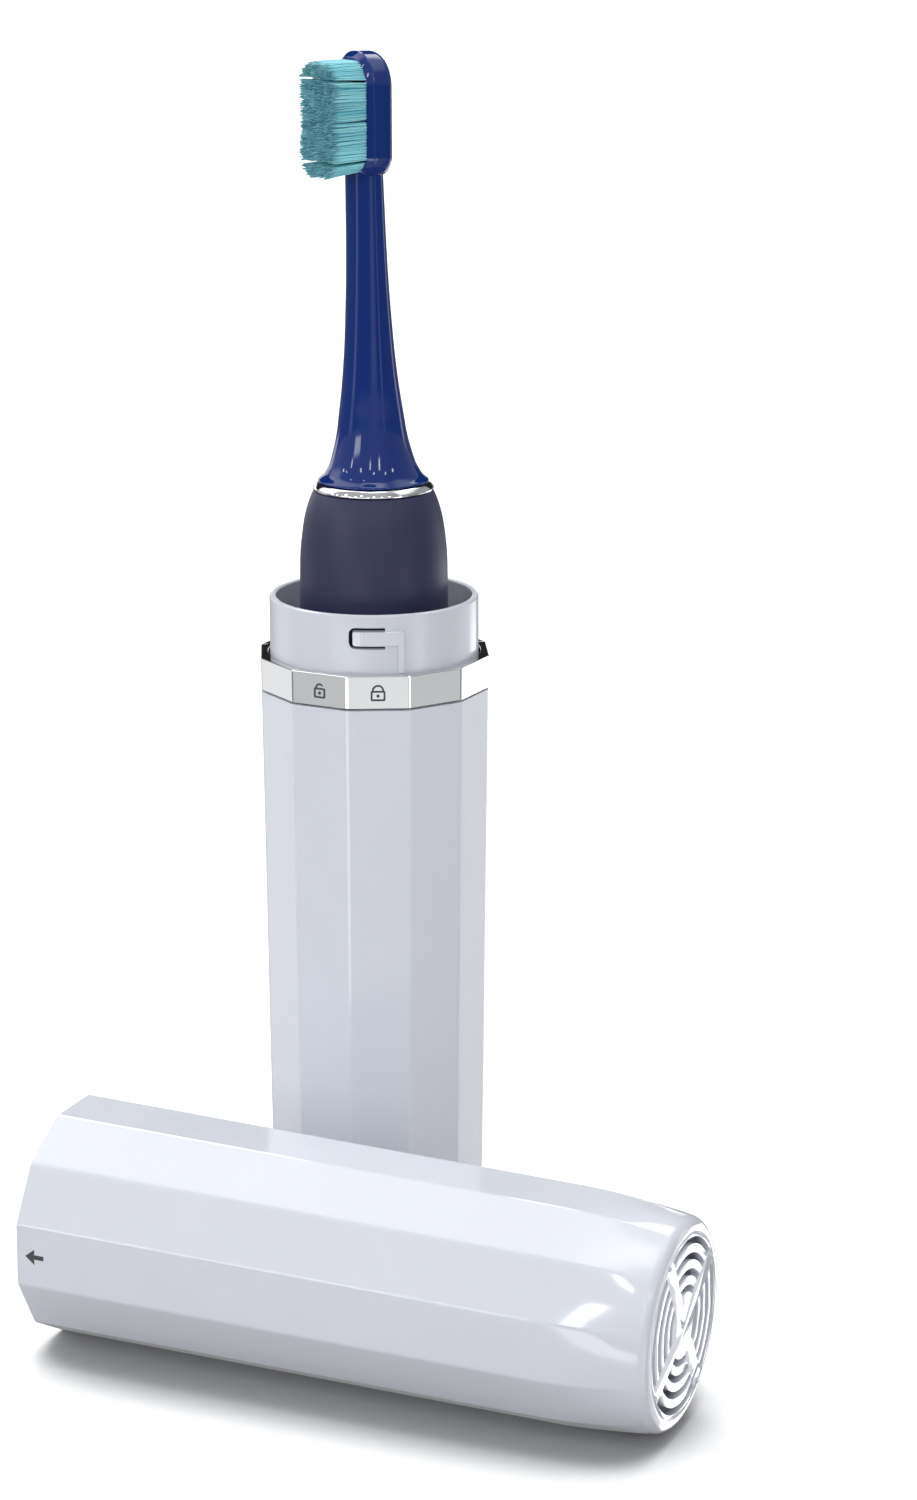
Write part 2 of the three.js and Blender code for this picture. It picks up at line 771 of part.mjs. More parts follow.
function makeEndSeal() {
  const middle = spigotRadius - sealDepth + clearance / 2 + sealRadius;
  const circle = evenTurns(arcSteps).map((angle) => {
    return [middle + sealRadius * Math.cos(angle), grooveMiddle + sealRadius * Math.sin(angle)];
  });
  return turned([...circle, circle[0]], smallSteps);
}

function makePowerButton() {
  const face = handleAt(buttonHeight) + buttonProud;
  const inner = switchFace + buttonTravel + clearance / 2;
  const shape = capsule(buttonWidth - 2 * buttonEdge, buttonLength - 2 * buttonEdge, buttonHeight);
  const bevel = { bevelEnabled: true, bevelSize: buttonEdge, bevelThickness: buttonEdge, bevelSegments: 2 };
  return pushedForward(shape, inner + buttonEdge, face - buttonEdge, bevel);
}

function makeLens() {
  const shape = capsule(lensWidth, lensLength, lensHeight);
  const stock = solid(pushedForward(shape, boardFace + clearance, handleRadius));
  return stock.intersect(solid(disc(handleAt(lensHeight) - lensInset, 0, handleLength, roundSteps)));
}

// Cell, board and motor in their chassis
const coilLow = endCapWall + clearance;
const coreLow = coilLow + coilHeight + clearance;
const boardBack = cellRadius + boardGap + clearance;
const boardFace = boardBack + boardThickness;
const switchFace = boardFace + switchHeight + plungerHeight;
const chassisLow = spigotTop + clearance;
const contactLow = chassisLow + bulkhead + clearance;
const cellBase = contactLow + tabThickness + clearance;
const cellTop = cellBase + cellLength;
const contactHigh = cellTop + clearance;
const midBulkhead = contactHigh + tabThickness + clearance;
const motorLow = midBulkhead + bulkhead + clearance;
const motorTop = motorLow + coverHeight + clearance + motorLength;
const chassisTop = mouthFace - clearance - bootFlangeHeight - clearance;

function makeChassis() {
  const outer = innerAt(chassisTop) - chassisGap;
  const inner = cellRadius + clearance;
  const wall = ring(inner, outer, chassisLow, chassisTop, midSteps);
  const front = (depth) => {
    const box = new THREE.BoxGeometry(2 * outer + cutOverrun, 2 * outer, handleLength);
    return box.translate(0, -outer - depth, handleLength / 2);
  };
  const trough = cut(solid(wall), front(cellRadius / 2));
  const middle = disc(inner + weldDepth, midBulkhead, midBulkhead + bulkhead, midSteps);
  const collar = ring(shaftRadius * 2, inner + weldDepth, chassisTop - bulkhead, chassisTop, midSteps);
  const fences = cut(join(middle).add(solid(collar)), front(boardBack - clearance));
  const foot = disc(innerAt(chassisLow) - chassisGap, chassisLow, chassisLow + bulkhead, midSteps);
  return trough.add(fences).add(solid(foot));
}

function makeContact(low) {
  const strip = new THREE.BoxGeometry(tabWidth, cellRadius * 2 - boardGap, tabThickness);
  return strip.translate(0, 0, low + tabThickness / 2);
}

const chipLow = lensHeight - lensLength / 2 - chipMargin - chipLength;
const driverLow = buttonHeight + switchSize / 2 + chipMargin;
const boardLow = chipLow - chipMargin;
const boardLength = driverLow + chipLength + chipMargin - boardLow;

function makeBoard() {
  const box = (width, depth, length, back, low) =>
    new THREE.BoxGeometry(width, depth, length).translate(0, -back - depth / 2, low + length / 2);
  const board = box(boardWidth, boardThickness, boardLength, boardBack, boardLow);
  const [chip, driver] = [chipLow, driverLow].map((low) =>
    box(chipWidth, chipHeight + weldDepth, chipLength, boardFace - weldDepth, low),
  );
  return join(board, chip, driver);
}

function makeSwitch() {
  const lift = clearance / 2; // its solder, between it and the board
  const base = new THREE.BoxGeometry(switchSize, switchHeight - lift, switchSize);
  base.translate(0, -boardFace - lift - (switchHeight - lift) / 2, buttonHeight);
  const reach = plungerHeight + weldDepth;
  const plunger = new THREE.CylinderGeometry(plungerRadius, plungerRadius, reach, tinySteps);
  plunger.translate(0, -switchFace + reach / 2, buttonHeight);
  return join(base, plunger);
}

function makeMotorCan() {
  const low = motorLow + coverHeight + clearance;
  const bore = motorRadius - motorWall;
  const hole = shaftRadius + clearance;
  return turned([
    [bore, low],
    [motorRadius, low],
    [motorRadius, motorTop],
    [hole, motorTop],
    [hole, motorTop - motorWall],
    [bore, motorTop - motorWall],
    [bore, low],
  ], smallSteps);
}

function makeMotorCover() {
  const inside = motorRadius - motorWall - clearance;
  const hole = shaftRadius + clearance;
  const top = motorLow + coverHeight;
  return turned([
    [hole, motorLow],
    [motorRadius, motorLow],
    [motorRadius, top],
    [inside, top],
    [inside, top + motorWall],
    [hole, top + motorWall],
    [hole, motorLow],
  ], smallSteps);
}

const rotorLow = motorLow + coverHeight + motorWall + clearance;
const rotorTop = motorTop - motorWall - clearance;
const rotorBore = shaftRadius + clearance / 2;
const bootHub = handleMouth - clearance;
const bootTop = ringTop + bootRise;
const foldLow = ringTop + bootRise / 3;
const foldHigh = (foldLow + bootTop) / 2;
const socketTop = bootTop + bootGap + bushLength + 2 * clearance;
const bushLow = socketTop - clearance - bushLength;
const shaftTop = bushLow + shaftGrip * bushLength;

function makeShaft() {
  const rod = disc(shaftRadius, motorLow + coverHeight / 2, shaftTop, smallSteps);
  const flat = new THREE.BoxGeometry(shaftRadius * 2, shaftRadius, shaftFlatLength + cutOverrun);
  flat.translate(0, shaftFlat - (shaftRadius * 3) / 2, shaftTop - (shaftFlatLength - cutOverrun) / 2);
  return cut(solid(rod), flat);
}

function makeBoot() {
  const bore = shaftRadius + clearance;
  const flangeTop = mouthFace - clearance;
  const flange = bootHub + bootFlangeWidth;
  return turned([
    [bore, flangeTop - bootFlangeHeight],
    [flange, flangeTop - bootFlangeHeight],
    [flange, flangeTop],
    [bootHub, flangeTop],
    [bootHub, ringTop],
    [bootHub - bootFold, foldLow],
    [bootHub - bootFold * 3, foldLow],
    [bootHub - bootFold * 2, foldHigh],
    [bootTip + bootFold, foldHigh],
    [bootTip, bootTop],
    [bore, bootTop],
    [bore, flangeTop - bootFlangeHeight],
  ], smallSteps);
}

const brushGroup = new THREE.Group();
brushGroup.position.z = brushBase;
brushGroup.rotation.z = caseTurnShare * fullTurn + brushFacets * facetAngle;
brushGroup.add(
  piece("handle_shell", makeHandleShell(), handleFinish),
  piece("trim_ring", makeTrimRing(), chromeFinish),
  piece("end_cap", makeEndCap(), handleFinish),
  piece("end_seal", makeEndSeal(), rubberFinish),
  piece("power_button", makePowerButton(), handleFinish),
  piece("indicator_lens", makeLens(), lensFinish),
  piece("charge_coil", ring(coilInner, coilOuter, coilLow, coilLow + coilHeight, smallSteps), copperFinish),
  piece("coil_core", disc(coilOuter, coreLow, coreLow + coreHeight), ferriteFinish),
  piece("chassis", makeChassis(), innerFinish),
  piece("battery_cell", disc(cellRadius, cellBase, cellTop), cellFinish),
  piece("contact_low", makeContact(contactLow), steelFinish),
  piece("contact_high", makeContact(contactHigh), steelFinish),
  piece("circuit_board", makeBoard(), boardFinish),
  piece("tact_switch", makeSwitch(), ferriteFinish),
  piece("motor_can", makeMotorCan(), steelFinish),
  piece("motor_cover", makeMotorCover(), innerFinish),
  piece("rotor", ring(rotorBore, rotorRadius, rotorLow, rotorTop, smallSteps), ferriteFinish),
  piece("drive_shaft", makeShaft(), steelFinish),
  piece("shaft_seal", makeBoot(), rubberFinish),
);

// Brush head
const skirtRadius = handleAt(handleLength) - skirtInset;
const neckShares = [
  // share of the neck's length, share of the way from the top's radius to the skirt's, share of the lean
  [0, 1, 0],
  [0.006, 0.983, 0],
  [0.019, 0.835, 0],
  [0.033, 0.753, 0.01],
  [0.063, 0.631, 0.05],
  [0.141, 0.454, 0.14],
  [0.217, 0.358, 0.22],
  [0.294, 0.268, 0.3],
  [0.37, 0.2, 0.38],
  [0.446, 0.147, 0.45],
  [0.593, 0.076, 0.6],
  [0.746, 0.032, 0.75],
  [1, 0, 1],
];
const neckOverlap = 2;

// One level section of the neck, which goes from round to oval as it leans towards the bristles
function neckSection([along, widen, lean]) {
  const radius = THREE.MathUtils.lerp(neckTopRadius, skirtRadius, widen);
  const wide = radius * (1 + neckWiden * lean);
  const thick = radius * (1 - neckFlatten * lean);
  const height = headBase + along * (neckLength + neckOverlap);
  return evenTurns(midSteps).map((angle) => {
    return new THREE.Vector3(wide * Math.cos(angle), thick * Math.sin(angle) - neckShift * lean, height);
  });
}

function plateOutline(inset) {
  const half = plateWidth / 2 - inset;
  const low = headBase + neckLength + inset;
  const high = headBase + neckLength + plateLength - inset;
  const lowRound = plateBottomRound - inset;
  const highRound = plateTopRound - inset;
  const up = Math.PI / 2;
  return outline([
    ...quarter(half - lowRound, low + lowRound, lowRound, -up, 1, arcSteps / 2),
    ...quarter(half - highRound, high - highRound, highRound, 0, 1, arcSteps),
    ...quarter(-half + highRound, high - highRound, highRound, up, 1, arcSteps),
    ...quarter(-half + lowRound, low + lowRound, lowRound, 2 * up, 1, arcSteps / 2),
  ]);
}

// The four rows of bristles: the shares of the plate's length where each starts and ends, and how far the
// tips of its lowest and highest bristles lean up
const tuftRows = [
  { name: "heel_tufts", low: 0.04, high: 0.13, leanLow: -0.8, leanHigh: -0.6 },
  { name: "lower_tufts", low: 0.145, high: 0.452, leanLow: -0.25, leanHigh: -0.1 },
  { name: "upper_tufts", low: 0.468, high: 0.763, leanLow: -0.25, leanHigh: 0.2 },
  { name: "toe_tufts", low: 0.779, high: 0.93, leanLow: 0.3, leanHigh: -0.3 },
];
const plateLow = headBase + neckLength;

// Half the plate's width at a height above its lower end
function plateHalfAt(height) {
  const half = plateWidth / 2;
  const rounded = (radius, inside) => half - radius + Math.sqrt(radius ** 2 - (radius - inside) ** 2);
  if (height < plateBottomRound) return rounded(plateBottomRound, height);
  if (height > plateLength - plateTopRound) return rounded(plateTopRound, plateLength - height);
  return half;
}

// The stretch of one row between its two ends, drawn in by an inset
function tuftStock(row, inset, back, front) {
  const bottom = plateLow + row.low * plateLength + inset;
  const top = plateLow + row.high * plateLength - inset;
  const box = new THREE.BoxGeometry(plateWidth, front - back, top - bottom);
  box.translate(0, -(front + back) / 2, (top + bottom) / 2);
  const field = pushedForward(plateOutline(tuftMargin + inset), back - cutOverrun, front + cutOverrun);
  return solid(box).intersect(solid(field));
}

// One strand: three-sided, rooted in the slice, a little thinner at its tip
function strand(x, z, lean, turn) {
  const root = plateFront - tuftSlice / 2;
  const tip = plateFront + tuftLength;
  const corners = (radius, sideways, height, reach) =>
    evenTurns(strandSides).map((angle) => {
      const across = sideways + radius * Math.cos(turn + angle);
      return new THREE.Vector3(across, -reach, height + radius * Math.sin(turn + angle));
    });
  return skin([corners(strandRadius, x, z, root), corners(strandTip, x * tuftSpread, z + lean, tip)], false);
}

function makeTufts(row) {
  const slice = tuftStock(row, clearance, plateFront - tuftSlice, plateFront);
  const inset = clearance + strandRadius;
  const bottom = row.low * plateLength + inset;
  const top = row.high * plateLength - inset;
  const lines = Math.max(1, Math.round((top - bottom) / (strandPitch * Math.cos(facetAngle))));
  const strands = [];
  for (let line = 0; line <= lines; line++) {
    const height = THREE.MathUtils.lerp(bottom, top, line / lines);
    const lean = THREE.MathUtils.lerp(row.leanLow, row.leanHigh, line / lines);
    const half = plateHalfAt(height) - tuftMargin - inset;
    const offset = (line % 2) / 2;
    const most = Math.floor(half / strandPitch - offset);
    for (let column = -most - (line % 2); column <= most; column++) {
      const x = (column + offset) * strandPitch;
      strands.push(strand(x, plateLow + height, lean, (line + column) * facetHalf).toNonIndexed());
    }
  }
  return slice.add(solid(mergeGeometries(strands)));
}

function makeHead() {
  const neck = skin(neckShares.map(neckSection), false);
  const bevel = { bevelEnabled: true, bevelSize: plateEdge, bevelThickness: plateEdge, bevelSegments: 2 };
  const plate = pushedForward(plateOutline(plateEdge), -plateBack + plateEdge, plateFront - plateEdge, bevel);
  const socket = bushRadius + clearance;
  const hollow = turned([
    [0, headBase - cutOverrun],
    [bootHub + bootGap, headBase - cutOverrun],
    [bootHub + bootGap, ringTop + bootGap],
    [bootHub - bootFold * 2 + bootGap, foldHigh],
    [bootTip + bootFold + bootGap, bootTop + bootGap],
    [socket, bootTop + bootGap],
    [socket, socketTop],
    [0, socketTop],
  ], smallSteps);
  const whole = cut(join(neck, plate), hollow);
  const pocketBack = plateFront - tuftSlice - clearance;
  const pockets = tuftRows.map((row) => tuftStock(row, 0, pocketBack, plateFront + cutOverrun));
  return pockets.reduce((left, pocket) => left.subtract(pocket), whole);
}

// The insert in the head. Its bore has the shaft's flat, so that the shaft turns it.
function makeBush() {
  const radius = shaftRadius + clearance;
  const flat = Math.asin((shaftRadius - shaftFlat + clearance) / radius);
  const bore = new THREE.Shape();
  bore.absarc(0, 0, radius, -flat, Math.PI + flat, false);
  bore.closePath();
  const depth = bushLength + 2 * cutOverrun;
  const hole = new THREE.ExtrudeGeometry(bore, { depth, curveSegments: smallSteps, bevelEnabled: false });
  const rod = disc(bushRadius, bushLow, bushLow + bushLength);
  return cut(solid(rod), hole.translate(0, 0, bushLow - cutOverrun));
}

brushGroup.add(
  piece("head_body", makeHead(), headFinish),
  piece("shaft_bush", makeBush(), steelFinish),
  ...tuftRows.map((row) => piece(row.name, makeTufts(row), bristleFinish)),
);

const travelCase = new THREE.Group();
travelCase.add(caseGroup, capGroup, brushGroup);

export default travelCase;
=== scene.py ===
# %% [markdown]
# # A travel case for an electric toothbrush, dressed in Blender
#
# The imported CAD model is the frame: it fixes every size and every joint. This lesson models the visible
# pieces again with finer curves, gives each one its finish, and sets up the studio and the camera.
# Each piece is modelled upright at the origin, in the way that its own maker would draw it, and is then
# moved to its place: the case and the brush stand turned about Z, and the cap lies on one of its facets.

# %% Load the frame
import json
import math
import random

import bmesh
import bpy
import numpy as np
from mathutils import Matrix, Vector

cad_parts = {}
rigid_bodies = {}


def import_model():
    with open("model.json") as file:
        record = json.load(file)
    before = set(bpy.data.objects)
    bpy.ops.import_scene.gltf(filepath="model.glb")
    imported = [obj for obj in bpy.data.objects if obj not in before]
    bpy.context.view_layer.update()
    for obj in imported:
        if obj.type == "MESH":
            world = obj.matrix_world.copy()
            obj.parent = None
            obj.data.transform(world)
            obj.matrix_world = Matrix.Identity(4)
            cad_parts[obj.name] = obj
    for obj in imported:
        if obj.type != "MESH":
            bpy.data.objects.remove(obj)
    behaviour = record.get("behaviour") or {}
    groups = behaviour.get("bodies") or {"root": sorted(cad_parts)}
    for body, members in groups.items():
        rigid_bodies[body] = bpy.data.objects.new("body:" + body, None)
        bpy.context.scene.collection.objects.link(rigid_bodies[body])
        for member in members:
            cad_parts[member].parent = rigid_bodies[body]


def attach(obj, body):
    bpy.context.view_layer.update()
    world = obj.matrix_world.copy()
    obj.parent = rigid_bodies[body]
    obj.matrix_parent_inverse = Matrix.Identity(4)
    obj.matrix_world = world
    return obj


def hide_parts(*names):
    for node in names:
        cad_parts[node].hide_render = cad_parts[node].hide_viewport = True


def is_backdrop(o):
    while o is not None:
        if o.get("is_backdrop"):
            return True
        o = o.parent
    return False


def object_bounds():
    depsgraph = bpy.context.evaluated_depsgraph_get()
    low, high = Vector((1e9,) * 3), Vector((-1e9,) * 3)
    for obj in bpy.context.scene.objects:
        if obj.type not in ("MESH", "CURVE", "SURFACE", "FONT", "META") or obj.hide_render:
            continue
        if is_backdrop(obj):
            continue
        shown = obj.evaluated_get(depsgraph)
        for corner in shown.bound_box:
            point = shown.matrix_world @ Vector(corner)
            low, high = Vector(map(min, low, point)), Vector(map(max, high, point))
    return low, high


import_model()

for thing in [thing for thing in bpy.data.objects if thing.name in ("Cube", "Camera", "Light")]:
    bpy.data.objects.remove(thing, do_unlink=True)

cad_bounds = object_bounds()

# %% [markdown]
# ## Camera
# The camera was found by fitting the case's facet corners, the band and the round ends to the photograph.
# It stands half a metre away, a little above the case, and looks down by 15 degrees with a long lens, so
# the facets keep nearly parallel sides. The lens follows from the focal length in pixels of the photograph.

# %% Camera
MM = 0.001
IMAGE_HEIGHT = 1500
FOCAL_PIXELS = 3499
CAMERA_PLACE = (0.22489, -0.48536, 0.22746)
CAMERA_DOWN = 15.054
CAMERA_HEADING = 23.446

camera_data = bpy.data.cameras.new("camera")
camera_data.sensor_fit = "VERTICAL"
camera_data.lens = camera_data.sensor_height * FOCAL_PIXELS / IMAGE_HEIGHT
camera = bpy.data.objects.new("camera", camera_data)
camera.location = CAMERA_PLACE
camera.rotation_euler = (math.radians(90 - CAMERA_DOWN), 0, math.radians(CAMERA_HEADING))
bpy.context.scene.collection.objects.link(camera)
bpy.context.scene.camera = camera
print("lens", round(camera_data.lens, 2), "mm")

# %% [markdown]
# ## Studio
# A gloss white shell and a chrome band show little but the room around them, so the room is what makes
# them look right. Here the world is that room. It starts as an even grey, and light and dark cards are
# painted on it by their bearing and height: a lamp overhead, a soft card at the left, a weaker one high
# at the back right, and a black flag behind the case, which the band's ledge mirrors. The upright facets
# mirror the cards below the horizon, and small bare lamps around the front make the sparkles on the brush
# head. A bearing is counted in degrees from the front, -Y, towards +X.

# %% The room
ROOM_GREY = 0.5
ROOM_TINT = (0.985, 0.99, 1, 1)
CARDS = [
    # bearing from and to, height from and to, softness, brightness
    # Above the horizon: the dim right side, the lamp, two soft cards, one for the top of the head plate,
    # the flag, and two small ones
    (60, 178, 2, 60, 10.0, 0.38),
    (-180, 180, 76, 90, 8.0, 3.2),
    (-140, -74, 18, 74, 14.0, 2.0),
    (92, 184, 42, 66, 12.0, 1.5),
    (162, 196, 37, 55, 5.0, 5.0),
    (165, 250, 2, 42, 3.0, 0.02),
    (-157, -137, 34, 50, 2.0, 7.0),
    (-36, -18, 5, 14, 2.0, 6.0),
    # Below the horizon, from the left round to the right and the back
    (-180, 180, -90, 0, 1.0, 0.66),
    (-180, 180, -90, -50, 2.0, 0.15),
    (-110, -80, -45, -11, 2.0, 1.0),
    (-79, -52, -45, -11, 3.0, 0.25),
    (22, 52, -45, -11, 3.0, 0.95),
    (68, 83, -45, -11, 2.0, 3.0),
    (98, 122, -45, -11, 3.0, 0.25),
    (128, 154, -45, -11, 3.0, 1.35),
    (156, 176, -45, -12, 2.0, 4.0),
    (178, 250, -60, -11, 3.0, 0.25),
    # Along the horizon, a dark band with lighter gaps, which the neck and the chrome edges mirror
    (-180, 180, -11, 2, 1.0, 0.15),
    (-168, -112, -4, 10, 2.0, 1.3),
    (-62, -52, -11, 2, 5.0, 1.1),
    (14, 40, -11, 2, 6.0, 0.7),
    (60, 66, -11, 2, 3.0, 1.1),
    (143, 153, -11, 2, 4.0, 1.8),
    (-22, 16, -21, -11.5, 2.0, 3.4),
]
SPARK_SOFT = 1.0
SPARK_BRIGHT = 13.0
SPARKS = [
    # bearing, height, width and tallness of the small bare lamps
    (-64, 23, 4, 7), (-54, 28, 3, 6), (-42, 45, 4, 6), (-39, 17, 3, 5), (-11, 27, 4, 10), (-4, 50, 4, 5),
    (15, 22, 3, 9), (26, 36, 4, 8), (41, 21, 4, 10), (59, 34, 3, 9), (80, 25, 4, 9),
]
for bearing, height, width, tall in SPARKS:
    sides = (bearing - width / 2, bearing + width / 2, height - tall / 2, height + tall / 2)
    CARDS.append((*sides, SPARK_SOFT, SPARK_BRIGHT))


def add_node(tree, kind, **values):
    """A node of a kind, with its settings and the values of its named inputs."""
    node = tree.nodes.new(kind)
    for name, value in values.items():
        if name in node.inputs:
            node.inputs[name].default_value = value
        else:
            setattr(node, name, value)
    return node


def maths(tree, operation, *inputs, clamp=False):
    """A Math node, whose inputs are numbers or sockets."""
    node = add_node(tree, "ShaderNodeMath", operation=operation, use_clamp=clamp)
    for socket, value in zip(node.inputs, inputs):
        if isinstance(value, (int, float)):
            socket.default_value = value
        else:
            tree.links.new(value, socket)
    return node.outputs[0]


def between(tree, angle, low, high, soft):
    """1 where an angle in degrees lies between two others, fading to 0 over a softness."""
    rise = maths(tree, "DIVIDE", maths(tree, "SUBTRACT", angle, low - soft / 2), soft, clamp=True)
    fall = maths(tree, "DIVIDE", maths(tree, "SUBTRACT", high + soft / 2, angle), soft, clamp=True)
    return maths(tree, "MULTIPLY", rise, fall)


def paint_room(tree):
    """The brightness of the room in every direction."""
    where = add_node(tree, "ShaderNodeTexCoord")
    axes = add_node(tree, "ShaderNodeSeparateXYZ")
    tree.links.new(where.outputs["Generated"], axes.inputs[0])
    back = maths(tree, "MULTIPLY", axes.outputs["Y"], -1.0)
    bearing = maths(tree, "DEGREES", maths(tree, "ARCTAN2", axes.outputs["X"], back))
    beyond = maths(tree, "ADD", bearing, 360.0)
    height = maths(tree, "DEGREES", maths(tree, "ARCSINE", axes.outputs["Z"]))
    bright = None
    for start, end, low, high, soft, level in CARDS:
        share = between(tree, bearing, start, end, soft)
        if end > 180:
            share = maths(tree, "MAXIMUM", share, between(tree, beyond, start, end, soft))
        share = maths(tree, "MULTIPLY", share, between(tree, height, low, high, soft))
        card = add_node(tree, "ShaderNodeMix", data_type="FLOAT")
        card.inputs[3].default_value = level
        if bright:
            tree.links.new(bright, card.inputs[2])
        else:
            card.inputs[2].default_value = ROOM_GREY
        tree.links.new(share, card.inputs[0])
        bright = card.outputs[0]
    return bright


bpy.context.scene.view_settings.view_transform = "Standard"
world = bpy.data.worlds.new("studio")
bpy.context.scene.world = world
world.use_nodes = True
tree = world.node_tree
tree.nodes.clear()
room = add_node(tree, "ShaderNodeBackground", Color=ROOM_TINT)
tree.links.new(paint_room(tree), room.inputs["Strength"])
white = add_node(tree, "ShaderNodeBackground", Color=(1, 1, 1, 1), Strength=1.0)
path = add_node(tree, "ShaderNodeLightPath")
either = add_node(tree, "ShaderNodeMixShader")
world_out = add_node(tree, "ShaderNodeOutputWorld")
tree.links.new(path.outputs["Is Camera Ray"], either.inputs[0])
tree.links.new(room.outputs[0], either.inputs[1])
tree.links.new(white.outputs[0], either.inputs[2])
tree.links.new(either.outputs[0], world_out.inputs[0])
print("cards in the room", len(CARDS))

# %% [markdown]
# The floor is light grey paint to the object and white to the camera, so that it meets the background
# and keeps its shadow. An occlusion node makes the shadow flat and dark near the object, and a faint glow
# that only the camera sees lets it end sooner than this soft room would. The mirrors look past the floor,
# at the cards that lie lower than it.

# %% Floor
FLOOR_METRES = 12
FLOOR_WHITE = 0.57
FLOOR_SEEN = 1.0
FLOOR_GLOW = 0.16
CONTACT = 26.0
CONTACT_DARK = 0.47
CLEAR_FROM, CLEAR_TO = 0.4, 0.76

bpy.ops.object.select_all(action="DESELECT")
bpy.ops.mesh.primitive_plane_add(size=FLOOR_METRES)
floor = bpy.context.object
floor.name = "floor"
floor.visible_glossy = False
paint = bpy.data.materials.new("floor_paint")
paint.use_nodes = True
tree = paint.node_tree
tree.nodes.clear()
matt = add_node(tree, "ShaderNodeBsdfDiffuse")
path = add_node(tree, "ShaderNodeLightPath")
floor_out = add_node(tree, "ShaderNodeOutputMaterial")
nearby = add_node(tree, "ShaderNodeAmbientOcclusion", samples=32, Distance=CONTACT * MM)
clear = add_node(tree, "ShaderNodeMapRange", interpolation_type="SMOOTHSTEP")
clear.inputs["From Min"].default_value = CLEAR_FROM
clear.inputs["From Max"].default_value = CLEAR_TO
tree.links.new(nearby.outputs["AO"], clear.inputs["Value"])
open_share = maths(tree, "MULTIPLY_ADD", clear.outputs["Result"], 1 - CONTACT_DARK, CONTACT_DARK)
shade = maths(tree, "MULTIPLY_ADD", path.outputs["Is Camera Ray"], FLOOR_SEEN - FLOOR_WHITE, FLOOR_WHITE)
tree.links.new(maths(tree, "MULTIPLY", shade, open_share), matt.inputs["Color"])
seen_clear = maths(tree, "MULTIPLY", path.outputs["Is Camera Ray"], clear.outputs["Result"])
glow = add_node(tree, "ShaderNodeEmission")
tree.links.new(maths(tree, "MULTIPLY", seen_clear, FLOOR_GLOW), glow.inputs["Strength"])
both = add_node(tree, "ShaderNodeAddShader")
tree.links.new(matt.outputs[0], both.inputs[0])
tree.links.new(glow.outputs[0], both.inputs[1])
tree.links.new(both.outputs[0], floor_out.inputs[0])
floor.data.materials.append(paint)
floor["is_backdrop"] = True
print("floor is set")

# %% [markdown]
# ## Finishes
# All of the case's plastics come out of polished or spark-eroded moulds, so their skins differ only in
# tone, gloss and grain. One shader group makes that skin: a slow cloud of tone, a finer one of gloss,
# and a grain for the bump. Each finish places it with its own values.

# %% The moulded skin
def moulded_skin():
    """The node group that every moulded finish places."""
    group = bpy.data.node_groups.new("moulded_skin", "ShaderNodeTree")
    sockets = [
        ("Vector", "INPUT", "NodeSocketVector"),
        ("Tint", "INPUT", "NodeSocketColor"),
        ("Cloud", "INPUT", "NodeSocketFloat"),
        ("Tone", "INPUT", "NodeSocketFloat"),
        ("Gloss", "INPUT", "NodeSocketFloat"),
        ("Gloss Spread", "INPUT", "NodeSocketFloat"),
        ("Grain", "INPUT", "NodeSocketFloat"),
        ("Color", "OUTPUT", "NodeSocketColor"),
        ("Roughness", "OUTPUT", "NodeSocketFloat"),
        ("Height", "OUTPUT", "NodeSocketFloat"),
    ]
    for name, way, kind in sockets:
        group.interface.new_socket(name=name, in_out=way, socket_type=kind)
    start = group.nodes.new("NodeGroupInput")
    end = group.nodes.new("NodeGroupOutput")
    link = group.links.new

    cloud = add_node(group, "ShaderNodeTexNoise", Detail=3.0, Roughness=0.55)
    link(start.outputs["Vector"], cloud.inputs["Vector"])
    link(start.outputs["Cloud"], cloud.inputs["Scale"])
    signed = add_node(group, "ShaderNodeMath", operation="SUBTRACT")
    signed.inputs[1].default_value = 0.5
    link(cloud.outputs["Fac"], signed.inputs[0])

    toned = add_node(group, "ShaderNodeMath", operation="MULTIPLY_ADD")
    toned.inputs[2].default_value = 1.0
    link(signed.outputs[0], toned.inputs[0])
    link(start.outputs["Tone"], toned.inputs[1])
    tinted = add_node(group, "ShaderNodeVectorMath", operation="SCALE")
    link(start.outputs["Tint"], tinted.inputs[0])
    link(toned.outputs[0], tinted.inputs["Scale"])
    link(tinted.outputs[0], end.inputs["Color"])

    smear = add_node(group, "ShaderNodeMapping")
    smear.inputs["Scale"].default_value = (1.0, 1.0, 0.35)
    haze = add_node(group, "ShaderNodeTexNoise", Detail=5.0, Roughness=0.65)
    link(start.outputs["Vector"], smear.inputs["Vector"])
    link(smear.outputs[0], haze.inputs["Vector"])
    link(start.outputs["Cloud"], haze.inputs["Scale"])
    off = add_node(group, "ShaderNodeMath", operation="SUBTRACT")
    off.inputs[1].default_value = 0.5
    link(haze.outputs["Fac"], off.inputs[0])
    dulled = add_node(group, "ShaderNodeMath", operation="MULTIPLY_ADD", use_clamp=True)
    link(off.outputs[0], dulled.inputs[0])
    link(start.outputs["Gloss Spread"], dulled.inputs[1])
    link(start.outputs["Gloss"], dulled.inputs[2])
    link(dulled.outputs[0], end.inputs["Roughness"])

    grain = add_node(group, "ShaderNodeTexNoise", Detail=2.0, Roughness=0.5)
    link(start.outputs["Vector"], grain.inputs["Vector"])
    link(start.outputs["Grain"], grain.inputs["Scale"])
    link(grain.outputs["Fac"], end.inputs["Height"])
    return group


skin = moulded_skin()
print("group", skin.name, [item.name for item in skin.interface.items_tree])


